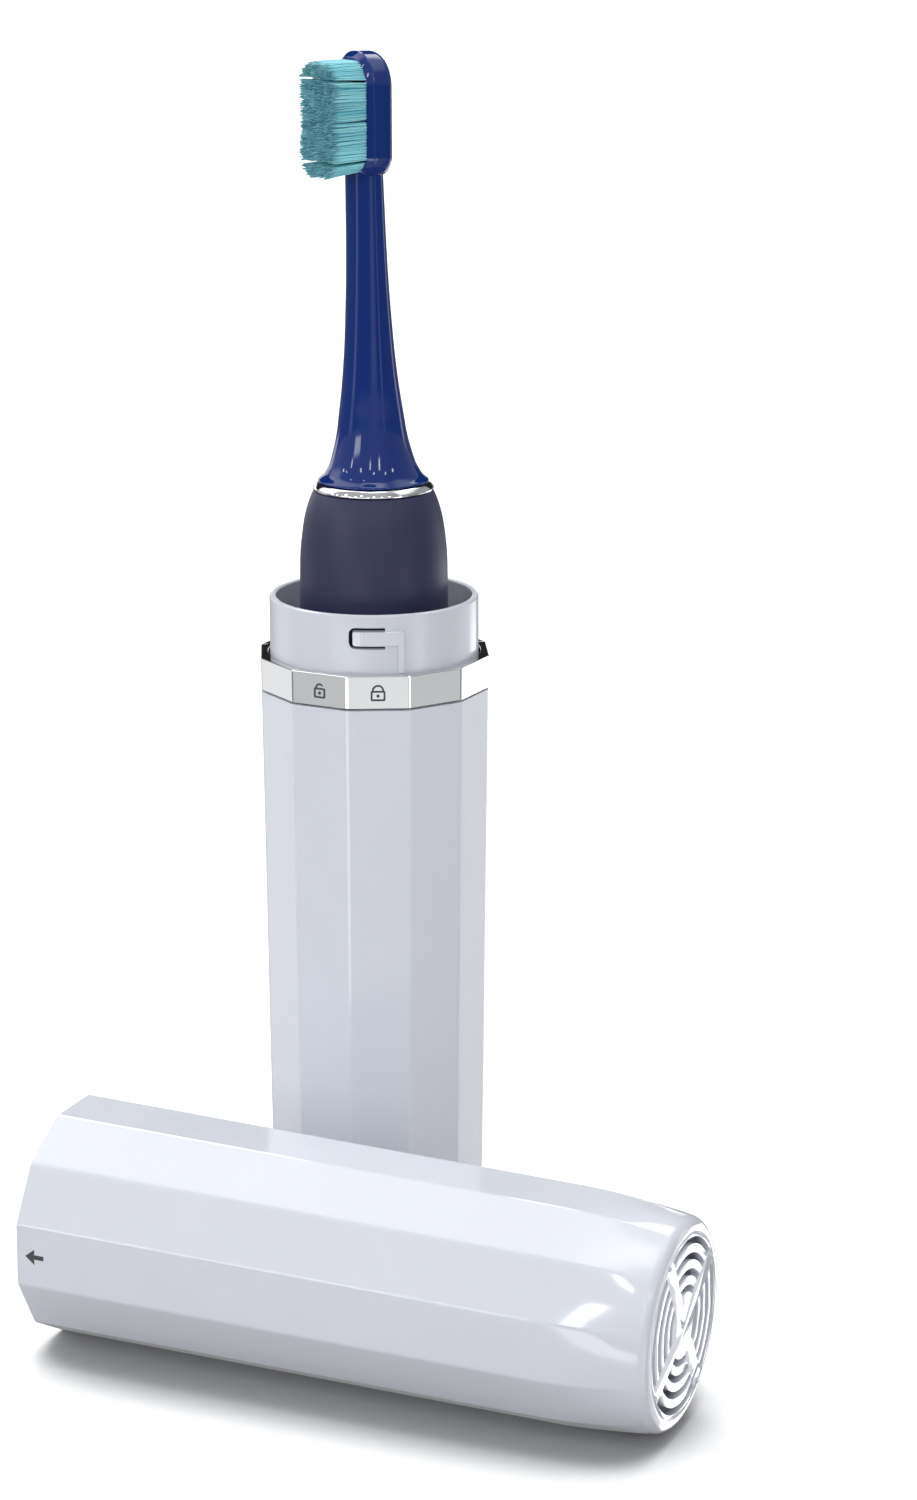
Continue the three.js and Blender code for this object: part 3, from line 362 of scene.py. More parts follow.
# %% [markdown]
# A finish is that skin in a Principled shader. Values that are the same all over, such as the coat or
# the sheen, are set on the shader itself. The clouds are centimetres wide and faint, and the grain of a
# gloss piece is so shallow that it only makes the mirror images on the facets swim a little.

# %% Finishes from the moulded skin
def linear(red, green, blue):
    """A screen colour from 0 to 255, as the linear colour that a shader takes."""
    shares = (red / 255, green / 255, blue / 255)
    curved = [share / 12.92 if share <= 0.04045 else ((share + 0.055) / 1.055) ** 2.4 for share in shares]
    return (*curved, 1.0)


def finish(name, tint, gloss, spread=0.04, tone=0.05, cloud=60, grain=900, bump=0.02, depth=0.02, **shader):
    """A material with the moulded skin: tint, gloss and bump depth in mm."""
    material = bpy.data.materials.new(name)
    material.use_nodes = True
    tree = material.node_tree
    tree.nodes.clear()
    where = add_node(tree, "ShaderNodeTexCoord")
    look = add_node(tree, "ShaderNodeGroup", node_tree=skin)
    for socket, value in (
        ("Tint", linear(*tint)),
        ("Cloud", cloud),
        ("Tone", tone),
        ("Gloss", gloss),
        ("Gloss Spread", spread),
        ("Grain", grain),
    ):
        look.inputs[socket].default_value = value
    dents = add_node(tree, "ShaderNodeBump", Strength=bump, Distance=depth * MM)
    surface = add_node(tree, "ShaderNodeBsdfPrincipled")
    for socket, value in shader.items():
        surface.inputs[socket.replace("_", " ")].default_value = value
    out = add_node(tree, "ShaderNodeOutputMaterial")
    tree.links.new(where.outputs["Object"], look.inputs["Vector"])
    tree.links.new(look.outputs["Color"], surface.inputs["Base Color"])
    tree.links.new(look.outputs["Roughness"], surface.inputs["Roughness"])
    tree.links.new(look.outputs["Height"], dents.inputs["Height"])
    tree.links.new(dents.outputs[0], surface.inputs["Normal"])
    tree.links.new(surface.outputs[0], out.inputs[0])
    return material


shell_gloss = finish("shell_gloss", (222, 225, 233), 0.1, bump=0.35, depth=0.012, grain=260, Coat_Weight=0.3)
collar_satin = finish("collar_satin", (218, 221, 229), 0.22, grain=900, bump=0.15, Coat_Weight=0.1)
chrome_plate = finish(
    "chrome_plate", (228, 229, 230), 0.05, spread=0.05, tone=0.04, bump=0.2, depth=0.004, Metallic=1.0
)
soft_touch = finish(
    "soft_touch", (38, 41, 76), 0.46, spread=0.08, tone=0.12, grain=4000, bump=0.4, Sheen_Weight=0.04
)
head_gloss = finish("head_gloss", (13, 46, 117), 0.07, tone=0.1, bump=0.2, depth=0.01, grain=400)
rubber = finish("soft_rubber", (52, 54, 60), 0.75, spread=0.1, tone=0.15, grain=5000, bump=0.6)
ink = finish("ink", (66, 68, 71), 0.5, spread=0.1, tone=0.2, cloud=900, grain=6000, bump=0.3)
pale_ink = finish("pale_ink", (176, 180, 190), 0.5, spread=0.1, tone=0.1, cloud=900, grain=6000, bump=0.3)
lens_clear = finish("lens_clear", (226, 236, 240), 0.2, tone=0.06, Subsurface_Weight=0.3)
ground_steel = finish("ground_steel", (196, 197, 200), 0.24, spread=0.2, tone=0.1, grain=3000, Metallic=1.0)
nickel = finish("nickel", (178, 176, 172), 0.34, spread=0.25, tone=0.16, cloud=220, grain=2600, Metallic=1.0)
chassis_plastic = finish("chassis_plastic", (223, 224, 222), 0.48, tone=0.08, grain=2200, bump=0.3)
cell_wrap = finish("cell_wrap", (58, 124, 92), 0.3, spread=0.15, tone=0.14, cloud=120, grain=900, bump=0.3)
ferrite_block = finish(
    "ferrite_block", (58, 57, 60), 0.66, spread=0.15, tone=0.3, cloud=500, grain=3800, bump=0.7
)
switch_black = finish("switch_black", (36, 37, 40), 0.5, tone=0.15, grain=3000, bump=0.4)
print("finishes made", sum(1 for material in bpy.data.materials if material.use_nodes))

# %% [markdown]
# Three finishes need a pattern of their own. The coil shows its windings, whose grooves are darkened with
# painted shade, the board its tracks, and the bristles are bright along their sides and darker at their
# rounded tips, which is painted shade.

# %% Windings, tracks and bristles
def patterned(name, gloss, build, **shader):
    """A material whose colour comes from the node that build makes."""
    material = bpy.data.materials.new(name)
    material.use_nodes = True
    tree = material.node_tree
    tree.nodes.clear()
    surface = add_node(tree, "ShaderNodeBsdfPrincipled", Roughness=gloss)
    for socket, value in shader.items():
        surface.inputs[socket.replace("_", " ")].default_value = value
    out = add_node(tree, "ShaderNodeOutputMaterial")
    color, height = build(tree)
    tree.links.new(color, surface.inputs["Base Color"])
    if height:
        dents = add_node(tree, "ShaderNodeBump", Strength=0.8, Distance=0.05 * MM)
        tree.links.new(height, dents.inputs["Height"])
        tree.links.new(dents.outputs[0], surface.inputs["Normal"])
    tree.links.new(surface.outputs[0], out.inputs[0])
    return material


def two_tones(tree, factor, dark, bright):
    """A colour between two, by a factor."""
    mix = add_node(tree, "ShaderNodeMix", data_type="RGBA")
    mix.inputs[6].default_value = linear(*dark)
    mix.inputs[7].default_value = linear(*bright)
    tree.links.new(factor, mix.inputs[0])
    return mix.outputs[2]


def windings(tree):
    """Copper turns, with their ridges as the height and painted shade darkening the grooves between them."""
    where = add_node(tree, "ShaderNodeTexCoord")
    turns = add_node(tree, "ShaderNodeTexWave", bands_direction="Z", Scale=900.0, Distortion=0.6, Detail=1.0)
    tree.links.new(where.outputs["Object"], turns.inputs["Vector"])
    # The darker copper tone lies in the grooves between the turns: painted shade.
    return two_tones(tree, turns.outputs["Fac"], (120, 62, 30), (214, 132, 78)), turns.outputs["Fac"]


def tracks(tree):
    """Tracks on the board, with their edges as the height."""
    where = add_node(tree, "ShaderNodeTexCoord")
    lines = add_node(tree, "ShaderNodeTexBrick", Scale=260.0)
    lines.inputs["Mortar Size"].default_value = 0.06
    tree.links.new(where.outputs["Object"], lines.inputs["Vector"])
    return two_tones(tree, lines.outputs["Fac"], (24, 92, 58), (126, 150, 96)), lines.outputs["Fac"]


def fibre_tones_and_tip_shade(tree):
    """A tone for each bristle, with painted shade that makes it darker at its tip."""
    along = add_node(tree, "ShaderNodeAttribute", attribute_name="along")
    tone = add_node(tree, "ShaderNodeAttribute", attribute_name="tone")
    end = add_node(tree, "ShaderNodeMapRange")
    end.inputs["From Min"].default_value = 0.82
    end.inputs["From Max"].default_value = 1.0
    tree.links.new(along.outputs["Fac"], end.inputs["Value"])
    side = two_tones(tree, tone.outputs["Fac"], (118, 206, 224), (184, 252, 255))
    # The tip colours are darker copies of the side colours: painted shade at the tip.
    tip = two_tones(tree, tone.outputs["Fac"], (84, 140, 156), (156, 218, 228))
    mix = add_node(tree, "ShaderNodeMix", data_type="RGBA")
    tree.links.new(end.outputs["Result"], mix.inputs[0])
    tree.links.new(side, mix.inputs[6])
    tree.links.new(tip, mix.inputs[7])
    return mix.outputs[2], None


wound_copper = patterned("wound_copper", 0.35, windings, Metallic=1.0)
board_green = patterned("board_green", 0.4, tracks)
bristle_fibre = patterned("bristle_fibre", 0.38, fibre_tones_and_tip_shade)
print("patterned finishes are ready")

# %% [markdown]
# ## Modelling ring by ring
# Every shell here is a tube whose section changes along its length, so all of them are modelled in the
# same way: a circle is laid down, its edge is extruded, and each new ring is scaled to its size and
# lifted to its height. The helpers work in millimetres. Scaling by measured half widths makes the ring
# hit its size exactly, whatever the ring before it was.

# %% Ring helpers
TOUCH = 0.002
SLACK = 0.01
SEAM_ANGLE = 0.01


def deselect():
    """Leaves edit mode, with nothing selected."""
    if bpy.context.object and bpy.context.object.mode != "OBJECT":
        bpy.ops.object.mode_set(mode="OBJECT")
    bpy.ops.object.select_all(action="DESELECT")


def take(body):
    """Makes one object the only selected and active one."""
    deselect()
    body.select_set(True)
    bpy.context.view_layer.objects.active = body


def start_ring(name, points, half, height, turn=0.0):
    """A circle of edges, left in edit mode with all of it selected."""
    deselect()
    bpy.ops.mesh.primitive_circle_add(
        vertices=points, radius=half * MM, location=(0, 0, height * MM), rotation=(0, 0, math.radians(turn))
    )
    body = bpy.context.object
    body.name = name
    body.data.name = name
    bpy.ops.object.transform_apply(location=True, rotation=True, scale=True)
    bpy.ops.object.mode_set(mode="EDIT")
    bpy.ops.mesh.select_mode(type="EDGE")
    bpy.ops.mesh.select_all(action="SELECT")
    return body


def chosen_points(body):
    """The selected points of a piece in edit mode, in millimetres."""
    points = bmesh.from_edit_mesh(body.data).verts
    return np.array([point.co[:] for point in points if point.select]) / MM


def ring_to(body, height, half, thick=None, forward=0.0, rounder=0.0):
    """Extrudes the selected ring and brings the new one to a height, half width and half depth."""
    points = chosen_points(body)
    middle = (points.min(0) + points.max(0)) / 2
    rise = height - middle[2]
    slide = -forward - middle[1]
    bpy.ops.mesh.extrude_region_move(TRANSFORM_OT_translate={"value": (0, slide * MM, rise * MM)})
    if rounder:
        bpy.ops.transform.tosphere(value=rounder)
    points = chosen_points(body)
    reach = (points.max(0) - points.min(0)) / 2
    scale = (half / reach[0], (half if thick is None else thick) / reach[1], 1)
    bpy.ops.transform.resize(value=scale, center_override=(0, -forward * MM, height * MM))


def ring_of(mesh, height, near, far):
    """The points of the ring at a height and between two distances, in order round the axis."""
    ring = []
    for point in mesh.verts:
        out = math.hypot(point.co.x, point.co.y) / MM
        if abs(point.co.z / MM - height) < TOUCH and near - TOUCH <= out <= far + TOUCH:
            ring.append(point)
    return sorted(ring, key=lambda point: (math.atan2(point.co.y, point.co.x) - SEAM_ANGLE) % (2 * math.pi))


def pick_ring(body, height, near, far):
    """Selects the ring at a height and between two distances from the axis."""
    bpy.ops.mesh.select_mode(type="VERT")
    bpy.ops.mesh.select_all(action="DESELECT")
    mesh = bmesh.from_edit_mesh(body.data)
    for point in ring_of(mesh, height, near, far):
        point.select_set(True)
    mesh.select_flush_mode()
    bmesh.update_edit_mesh(body.data)
    bpy.ops.mesh.select_mode(type="EDGE")


def bridge(body, first, second):
    """Joins two rings with faces, point by point. Each is given by its height and its distances."""
    mesh = bmesh.from_edit_mesh(body.data)
    one, other = ring_of(mesh, *first), ring_of(mesh, *second)
    for i in range(len(one)):
        mesh.faces.new((one[i - 1], one[i], other[i], other[i - 1]))
    bmesh.update_edit_mesh(body.data)


print("ring helpers are ready")

# %% [markdown]
# More helpers finish a piece: its faces are turned out, each modifier is applied at once, and a small
# bevel rounds the hard edges, as a mould does. The last one makes a whole round piece from its profile,
# the way that a lathe would.

# %% Finishing helpers
def close_up(body, angle=35):
    """Leaves edit mode with the faces turned out and the soft edges shaded smooth."""
    bpy.ops.mesh.select_all(action="SELECT")
    bpy.ops.mesh.normals_make_consistent(inside=False)
    bpy.ops.object.mode_set(mode="OBJECT")
    take(body)
    bpy.ops.object.shade_smooth_by_angle(angle=math.radians(angle))
    return body


def modify(body, kind, **settings):
    """Adds a modifier and applies it."""
    take(body)
    modifier = body.modifiers.new(kind.lower(), kind)
    for name, value in settings.items():
        setattr(modifier, name, value)
    bpy.ops.object.modifier_apply(modifier=modifier.name)
    return body


def soften(body, width, segments=3, angle=30):
    """Rounds the hard edges, as a mould does."""
    modify(
        body, "BEVEL", width=width * MM, segments=segments, limit_method="ANGLE",
        angle_limit=math.radians(angle), use_clamp_overlap=True, miter_outer="MITER_ARC",
    )
    take(body)
    bpy.ops.object.shade_smooth_by_angle(angle=math.radians(angle))
    return body


def turned(name, profile, points=128, loop=False, soft=0.0):
    """A round piece from its profile of radii and heights, closed flat at its ends or into a loop."""
    body = start_ring(name, points, *profile[0])
    for radius, height in profile[1:]:
        ring_to(body, height, radius)
    if loop:
        first, last = profile[0], profile[-1]
        bridge(body, (last[1], last[0], last[0]), (first[1], first[0], first[0]))
    else:
        bpy.ops.mesh.edge_face_add()
        pick_ring(body, profile[0][1], profile[0][0], profile[0][0])
        bpy.ops.mesh.edge_face_add()
    close_up(body)
    return soften(body, soft) if soft else body


print("finishing helpers are ready")

# %% [markdown]
# Each finished piece is moved to its place in the mesh itself, so that its object stays at the origin.
# The lower half is turned until its lock facet faces the camera, the brush is turned two facets the
# other way, and the cap is laid on a facet, whose draft tilts the cap's axis by half a degree.

# %% Places
FACETS = 12
FACET_HALF = math.pi / FACETS
CORNER = 18.4
END_CORNER = 17.58
HALF_HEIGHT = 100.0
END_LENGTH = 19.0
BRUSH_BASE = 7.0
CASE_TURN = 26.5
BRUSH_TURN = CASE_TURN - 60
CAP_MOUTH = (-30.2, -46.3)

case_place = Matrix.Rotation(math.radians(CASE_TURN), 4, "Z")
brush_turned = Matrix.Rotation(math.radians(BRUSH_TURN), 4, "Z")
brush_place = Matrix.Translation((0, 0, BRUSH_BASE * MM)) @ brush_turned
draft = math.atan((CORNER - END_CORNER) * math.cos(FACET_HALF) / (HALF_HEIGHT - END_LENGTH))
cap_height = CORNER * math.cos(FACET_HALF) * math.cos(draft)
cap_laid = Matrix.Rotation(math.pi / 2 + draft, 4, "Y")
cap_place = Matrix.Translation(Vector((*CAP_MOUTH, cap_height)) * MM) @ cap_laid


def install(piece, place, body, material, slot, *nodes):
    """Moves a piece to its place, gives it its finish and its body, and lets it stand for its CAD nodes."""
    piece.data.transform(place)
    piece.data.materials.clear()
    piece.data.materials.append(material)
    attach(piece, body)
    if nodes:
        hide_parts(*nodes)
    faces = sum(len(face.vertices) - 2 for face in piece.data.polygons)
    print(piece.name, "on", body, faces, "triangles")
    return piece


print("draft", round(math.degrees(draft), 3), "degrees")

# %% [markdown]
# ## The faceted shells
# Both halves are twelve-sided tubes whose facets fade into a round end. The section starts as a circle
# of twelve points. A vertex bevel rounds its corners, and subdividing its long edges gives the points
# that let it go round. Going down the shell, To Sphere pulls each ring a little further towards a
# circle, which is how the facets fade without a line, as on the real shell.

# %% Faceted section and its levels
EDGE_ROUND = 1.3
END_ROUND = 1.9
ROUND_FROM = 3.0
END_RADIUS = 15.47
FLAT_STEPS = 7
ROUND_STEPS = 6
SOFT_MIDDLE = 0.3


def start_facets(name, corner, height, edge_round=EDGE_ROUND):
    """A ring of twelve flats with rounded corners."""
    body = start_ring(name, FACETS, corner, height, turn=math.degrees(FACET_HALF))
    cut_back = edge_round * math.tan(FACET_HALF)
    bpy.ops.mesh.bevel(offset=cut_back * MM, segments=4, affect="VERTICES", profile=0.5)
    bpy.ops.mesh.select_all(action="DESELECT")
    mesh = bmesh.from_edit_mesh(body.data)
    for edge in mesh.edges:
        edge.select_set(edge.calc_length() > cut_back * 2 * MM)
    bmesh.update_edit_mesh(body.data)
    bpy.ops.mesh.subdivide(number_cuts=FLAT_STEPS)
    bpy.ops.mesh.select_all(action="SELECT")
    return body


def corner_at(distance):
    """Centre to facet corner, by the distance from the round end."""
    if distance >= END_LENGTH:
        along = (distance - END_LENGTH) / (HALF_HEIGHT - END_LENGTH)
        return END_CORNER + (CORNER - END_CORNER) * along
    left = 1 - distance / END_LENGTH
    return END_CORNER - (END_CORNER - END_RADIUS) * left * left


def fade_at(distance):
    """0 where the section is faceted, 1 where it is round."""
    share = min(max((distance - ROUND_FROM) / (END_LENGTH - ROUND_FROM), 0), 1)
    return (1 - share) ** 2


def half_at(distance, inset=0.0):
    """Centre to the middle of a facet."""
    corner = corner_at(distance) - inset
    return corner * (math.cos(FACET_HALF) * (1 - fade_at(distance)) + fade_at(distance))


def shoulder(body, distances, height_of, inset=0.0):
    """Rings from one distance to the next, each a little rounder."""
    fade = 0
    for distance in distances:
        target = fade_at(distance)
        rounder = 1 - (1 - target) / (1 - fade) if fade < 1 else 0
        ring_to(body, height_of(distance), half_at(distance, inset), rounder=rounder)
        fade = target


def round_end(body, height_of):
    """The flat end's rounded edge."""
    edge = corner_at(END_ROUND)
    for step in range(1, ROUND_STEPS + 1):
        angle = math.pi / 2 * step / ROUND_STEPS
        inset = END_ROUND * (1 - math.cos(angle))
        ring_to(body, height_of(END_ROUND * (1 - math.sin(angle))), edge - inset)


def soft_edge(body, height, half, soft, way=1):
    """Two rings that round the edge at a height, on the way up, or down with -1."""
    ring_to(body, height - way * soft * SOFT_MIDDLE, half - soft * SOFT_MIDDLE)
    ring_to(body, height, half - soft)


LEVEL = 1.1
SHOULDER = [END_LENGTH - step * LEVEL for step in range(15)] + [2.9, 2.4, END_ROUND]
print("levels in the shoulder", len(SHOULDER))

# %% [markdown]
# ## Lower shell
# The sleeve of the standing half. It goes down from the band: the long flats, the shoulder, the rounded
# edge and the recess for its foot. Then the same first ring goes inwards and up for the neck that
# carries the band, and down again for the bore that holds the inner cup.

# %% Lower shell
MOUTH_SOFT = 0.18
SLEEVE_TOP = 94.55
BAND_NECK = 16.35
BAND_NECK_TOP = 98.2
FOOT_RISE = 0.4
FOOT_HOLE = 11.0
FOOT_CHAMFER = 0.15
FOOT_CEILING = 1.2

sleeve_at = lambda distance: distance + FOOT_RISE
sleeve = start_facets("lower_shell", corner_at(SLEEVE_TOP - FOOT_RISE), SLEEVE_TOP - MOUTH_SOFT)
shoulder(sleeve, SHOULDER, sleeve_at)
round_end(sleeve, sleeve_at)
ring_to(sleeve, FOOT_RISE, FOOT_HOLE + FOOT_CHAMFER)
ring_to(sleeve, FOOT_RISE + FOOT_CHAMFER, FOOT_HOLE)
ring_to(sleeve, FOOT_CEILING, FOOT_HOLE)
bpy.ops.mesh.edge_face_add()
top_corner = corner_at(SLEEVE_TOP - FOOT_RISE)
top_half = top_corner * math.cos(FACET_HALF)
pick_ring(sleeve, SLEEVE_TOP - MOUTH_SOFT, top_half - SLACK, top_corner)
soft_edge(sleeve, SLEEVE_TOP, top_half, MOUTH_SOFT)
ring_to(sleeve, SLEEVE_TOP, BAND_NECK, rounder=1.0)
bore_rings = [(15.2, BAND_NECK_TOP), (14.9, 20.0), (14.4, 4.8), (13.55, 2.2)]
for half, height in [(BAND_NECK, BAND_NECK_TOP), *bore_rings]:
    ring_to(sleeve, height, half)
bpy.ops.mesh.edge_face_add()
close_up(sleeve, 28)
modify(sleeve, "WEIGHTED_NORMAL", keep_sharp=True)
install(sleeve, case_place, "case", shell_gloss, "shell", "case_sleeve")

# %% [markdown]
# ## Lock band
# A chromed ring with the same twelve flats, and a round hole that the collar comes through. What is left
# between the two is the ledge that the cap closes on. Its edges are crisper than the shell's, so that each
# facet ends in one fine bright line.

# %% Lock band
BAND_LOW = 94.85
BAND_SOFT = 0.16
BAND_BORE = 16.65
BORE_SOFT = 0.1

band_half = CORNER * math.cos(FACET_HALF)
low_half = corner_at(BAND_LOW) * math.cos(FACET_HALF)
band = start_facets("lock_ring", low_half / math.cos(FACET_HALF), BAND_LOW + BAND_SOFT, edge_round=1.0)
ring_to(band, HALF_HEIGHT - BAND_SOFT, band_half)
soft_edge(band, HALF_HEIGHT, band_half, BAND_SOFT)
ring_to(band, HALF_HEIGHT, BAND_BORE + BORE_SOFT, rounder=1.0)
ring_to(band, HALF_HEIGHT - BORE_SOFT, BAND_BORE)
ring_to(band, BAND_LOW, BAND_BORE)
pick_ring(band, BAND_LOW + BAND_SOFT, low_half - SLACK, low_half / math.cos(FACET_HALF))
soft_edge(band, BAND_LOW, low_half, BAND_SOFT, way=-1)
last_ring = (BAND_LOW, low_half - BAND_SOFT - SLACK, corner_at(BAND_LOW))
bridge(band, (BAND_LOW, BAND_BORE, BAND_BORE), last_ring)
close_up(band, 24)
modify(band, "WEIGHTED_NORMAL", keep_sharp=True)
install(band, case_place, "case", chrome_plate, "chrome", "lock_band")

# %% [markdown]
# ## Inner cup and its collar
# The liner is turned from one profile: a foot ring, a thin tapered wall, and the thicker collar that
# stands out of the band. The bayonet is cut and added afterwards.

# %% Liner
liner = turned(
    "liner",
    [
        (8.2, 4.0), (8.2, 2.5), (10.4, 2.5), (10.4, 4.0), (13.35, 4.0), (14.15, 4.8), (14.85, 98.5),
        (16.35, 98.5), (16.35, 108.75), (16.2, 109.0), (15.95, 109.1), (15.65, 109.1), (15.4, 109.0),
        (15.25, 108.75), (15.25, 100.0), (13.65, 98.5), (12.95, 5.2),
    ],
    points=144,
)
print("liner points", len(liner.data.vertices))

# %% [markdown]
# The bayonet needs flat forms with rounded corners. A block is a cube, added at its place and size, and
# a test on its edges picks the ones to bevel. A boolean then adds a block to a piece or takes it away.
# What stands on two sides of the collar is made once and copied by half a turn.

# %% Blocks and booleans
NEAR = 0.0001


def bevel_chosen(body, choose, radius, steps):
    """Bevels the edges that a test on their two ends picks."""
    take(body)
    bpy.ops.object.mode_set(mode="EDIT")
    bpy.ops.mesh.select_mode(type="EDGE")
    bpy.ops.mesh.select_all(action="DESELECT")
    mesh = bmesh.from_edit_mesh(body.data)
    for edge in mesh.edges:
        edge.select_set(bool(choose(*(end.co / MM for end in edge.verts))))
    bmesh.update_edit_mesh(body.data)
    bpy.ops.mesh.bevel(offset=radius * MM, segments=steps, profile=0.5)
    bpy.ops.object.mode_set(mode="OBJECT")


def block(name, low, high, *rounds, steps=4):
    """A box between two corners. Each round is a radius and a test on x and z for the edges along Y."""
    deselect()
    middle = [(a + b) / 2 for a, b in zip(low, high)]
    size = [(b - a) * MM for a, b in zip(low, high)]
    bpy.ops.mesh.primitive_cube_add(size=1, location=[place * MM for place in middle], scale=size)
    body = bpy.context.object
    body.name = name
    bpy.ops.object.transform_apply(location=True, rotation=True, scale=True)
    for radius, test in rounds:
        def rounded(a, b):
            along_y = abs(a.x - b.x) < NEAR and abs(a.z - b.z) < NEAR
            return along_y and test(a.x - middle[0], a.z - middle[2])

        bevel_chosen(body, rounded, radius, steps)
    return body


def combine(body, other, how):
    """A boolean of one piece with another, which is removed afterwards."""
    modify(body, "BOOLEAN", operation=how, solver="EXACT", object=other)
    bpy.data.objects.remove(other, do_unlink=True)
    return body


def opposite(body):
    """A copy with its own mesh, half a turn round, joined to the first."""
    twin = body.copy()
    twin.data = body.data.copy()
    bpy.context.scene.collection.objects.link(twin)
    twin.data.transform(Matrix.Rotation(math.pi, 4, "Z"))
    take(body)
    twin.select_set(True)
    bpy.ops.object.join()
    return body


print("blocks and booleans are ready")

# %% [markdown]
# A springy tongue in the collar's wall holds the cap. It is freed by a U-shaped slot through the wall, whose
# cutter is a rounded block less a smaller rounded block. Only the corners round the tongue's tip are
# rounded, because the tongue stays joined to the wall at its other end.

# %% Tongues
SLOT_START, SLOT_END = -4.36, 1.17
SLOT_LOW, SLOT_HIGH = 103.84, 107.16
SLOT_ROUND = 0.95
BAR_START, BAR_END = -3.8, 4.12
BAR_LOW, BAR_HIGH = 104.4, 106.6
BAR_ROUND = 0.4
FRONT, BACK = -19, -12
PAST_SLOT = 3.0

every_edge = lambda x, z: True
left_side = lambda x, z: x < 0
slot_round, core_round = (SLOT_ROUND, left_side), (BAR_ROUND, left_side)
slot_cutter = block("slot", (SLOT_START, FRONT, SLOT_LOW), (SLOT_END, BACK, SLOT_HIGH), slot_round)
slot_core = block("core", (BAR_START, FRONT - 1, BAR_LOW), (PAST_SLOT, BACK + 1, BAR_HIGH), core_round)
combine(slot_cutter, slot_core, "DIFFERENCE")
combine(liner, opposite(slot_cutter), "DIFFERENCE")
soften(liner, 0.07, segments=2, angle=40)
modify(liner, "WEIGHTED_NORMAL", keep_sharp=True)
install(liner, case_place, "case", collar_satin, "collar", "inner_cup")

# %% [markdown]
# The raised rib is an L: a bar that carries on the tongue, and a leg that goes down to the ledge and
# stops the cap. It has to follow the collar, so a flat L is pushed through a thin ring a little larger
# than the collar, and only what they share is kept. A small ridge near the bar's tip makes the click.

# %% Bayonet ribs
RIB_OUT = 16.8
RIB_IN = 16.2
RIB_LOW, RIB_HIGH = 99.0, 108.0
LEG_START, LEG_LOW = 3.17, 100.05
RIDGE_SIDE, RIDGE_OUT = -2.3, 16.68

rib_profile = [(RIB_IN, RIB_LOW), (RIB_OUT, RIB_LOW), (RIB_OUT, RIB_HIGH), (RIB_IN, RIB_HIGH)]
rib_ring = turned("lock_ribs", rib_profile, points=144, loop=True)
free_corners = lambda x, z: x < 0 or z > 0
bar_middle = (BAR_LOW + BAR_HIGH) / 2
rib_bar = block("bar", (BAR_START, FRONT, BAR_LOW), (BAR_END, BACK, BAR_HIGH), (BAR_ROUND, free_corners))
rib_leg = block("leg", (LEG_START, FRONT - 1, LEG_LOW), (BAR_END, BACK + 1, bar_middle))
combine(rib_bar, rib_leg, "UNION")
combine(rib_ring, opposite(rib_bar), "INTERSECT")
soften(rib_ring, 0.13, segments=3, angle=40)
modify(rib_ring, "WEIGHTED_NORMAL", keep_sharp=True)
ridge = turned("ridge", [(0.1, 104.42), (0.3, 104.6), (0.3, 106.4), (0.1, 106.58)], points=16)
ridge.data.transform(Matrix.Translation(Vector((RIDGE_SIDE, -RIDGE_OUT, 0)) * MM))
opposite(ridge)
take(rib_ring)
ridge.select_set(True)
bpy.ops.object.join()
install(rib_ring, case_place, "case", shell_gloss, "collar")

# %% [markdown]
# Six low guide ribs stand inside the liner and keep the handle off its wall. Each is a thin block whose
# upper inner edge is pulled down, so that the handle finds its way in.

# %% Guides
GUIDES = 6
GUIDE_HALF = 0.6
GUIDE_OUT, GUIDE_IN = 13.75, 12.6
GUIDE_LOW, GUIDE_HIGH = 5.0, 92.0
GUIDE_LEAD = 3

guides = block("cup_guides", (-GUIDE_HALF, -GUIDE_OUT, GUIDE_LOW), (GUIDE_HALF, -GUIDE_IN, GUIDE_HIGH))
bpy.ops.object.mode_set(mode="EDIT")
bpy.ops.mesh.select_mode(type="VERT")
bpy.ops.mesh.select_all(action="DESELECT")
mesh = bmesh.from_edit_mesh(guides.data)
middle = -(GUIDE_OUT + GUIDE_IN) / 2
for point in mesh.verts:
    point.select_set(point.co.z > (GUIDE_HIGH - 1) * MM and point.co.y > middle * MM)
bmesh.update_edit_mesh(guides.data)
bpy.ops.transform.translate(value=(0, 0, -GUIDE_LEAD * MM))
bpy.ops.object.mode_set(mode="OBJECT")
soften(guides, 0.15, segments=2)
first = guides.data.copy()
for turn in range(1, GUIDES):
    copy = bpy.data.objects.new("guide", first.copy())
    bpy.context.scene.collection.objects.link(copy)
    copy.data.transform(Matrix.Rotation(turn * 2 * math.pi / GUIDES, 4, "Z"))
    take(guides)
    copy.select_set(True)
    bpy.ops.object.join()
install(guides, case_place, "case", collar_satin, "collar")

# %% [markdown]
# ## Pads
# The case stands on a rubber disc that sits in the sleeve's recess, and the handle stands on a softer
# one with a raised rim at the bottom of the liner.

# %% Pads
foot = turned("foot_disc", [(9.0, 0.12), (9.3, 0.0), (10.7, 0.0), (10.7, 0.9)], points=96, soft=0.12)
install(foot, case_place, "case", rubber, "rubber", "foot_pad")
seat_profile = [(11.2, 5.5), (11.2, 6.7), (9.7, 6.7), (9.3, 6.3), (4.0, 6.3), (3.6, 6.1)]
seat = turned("seat_disc", seat_profile, points=96, soft=0.12)
install(seat, case_place, "case", rubber, "rubber", "seat_pad")

# %% [markdown]
# ## Cap shell
# The cap is drawn standing on its mouth. Its outer skin is lofted like the lower shell's, and ends in
# the hole for the grille. Inside, the mouth is bored round to fit over the collar, and further in the
# wall follows the facets again. A round ring can't get its facets back, so the inner wall is a second
# loft, which is joined to the first and bridged at both of its ends.

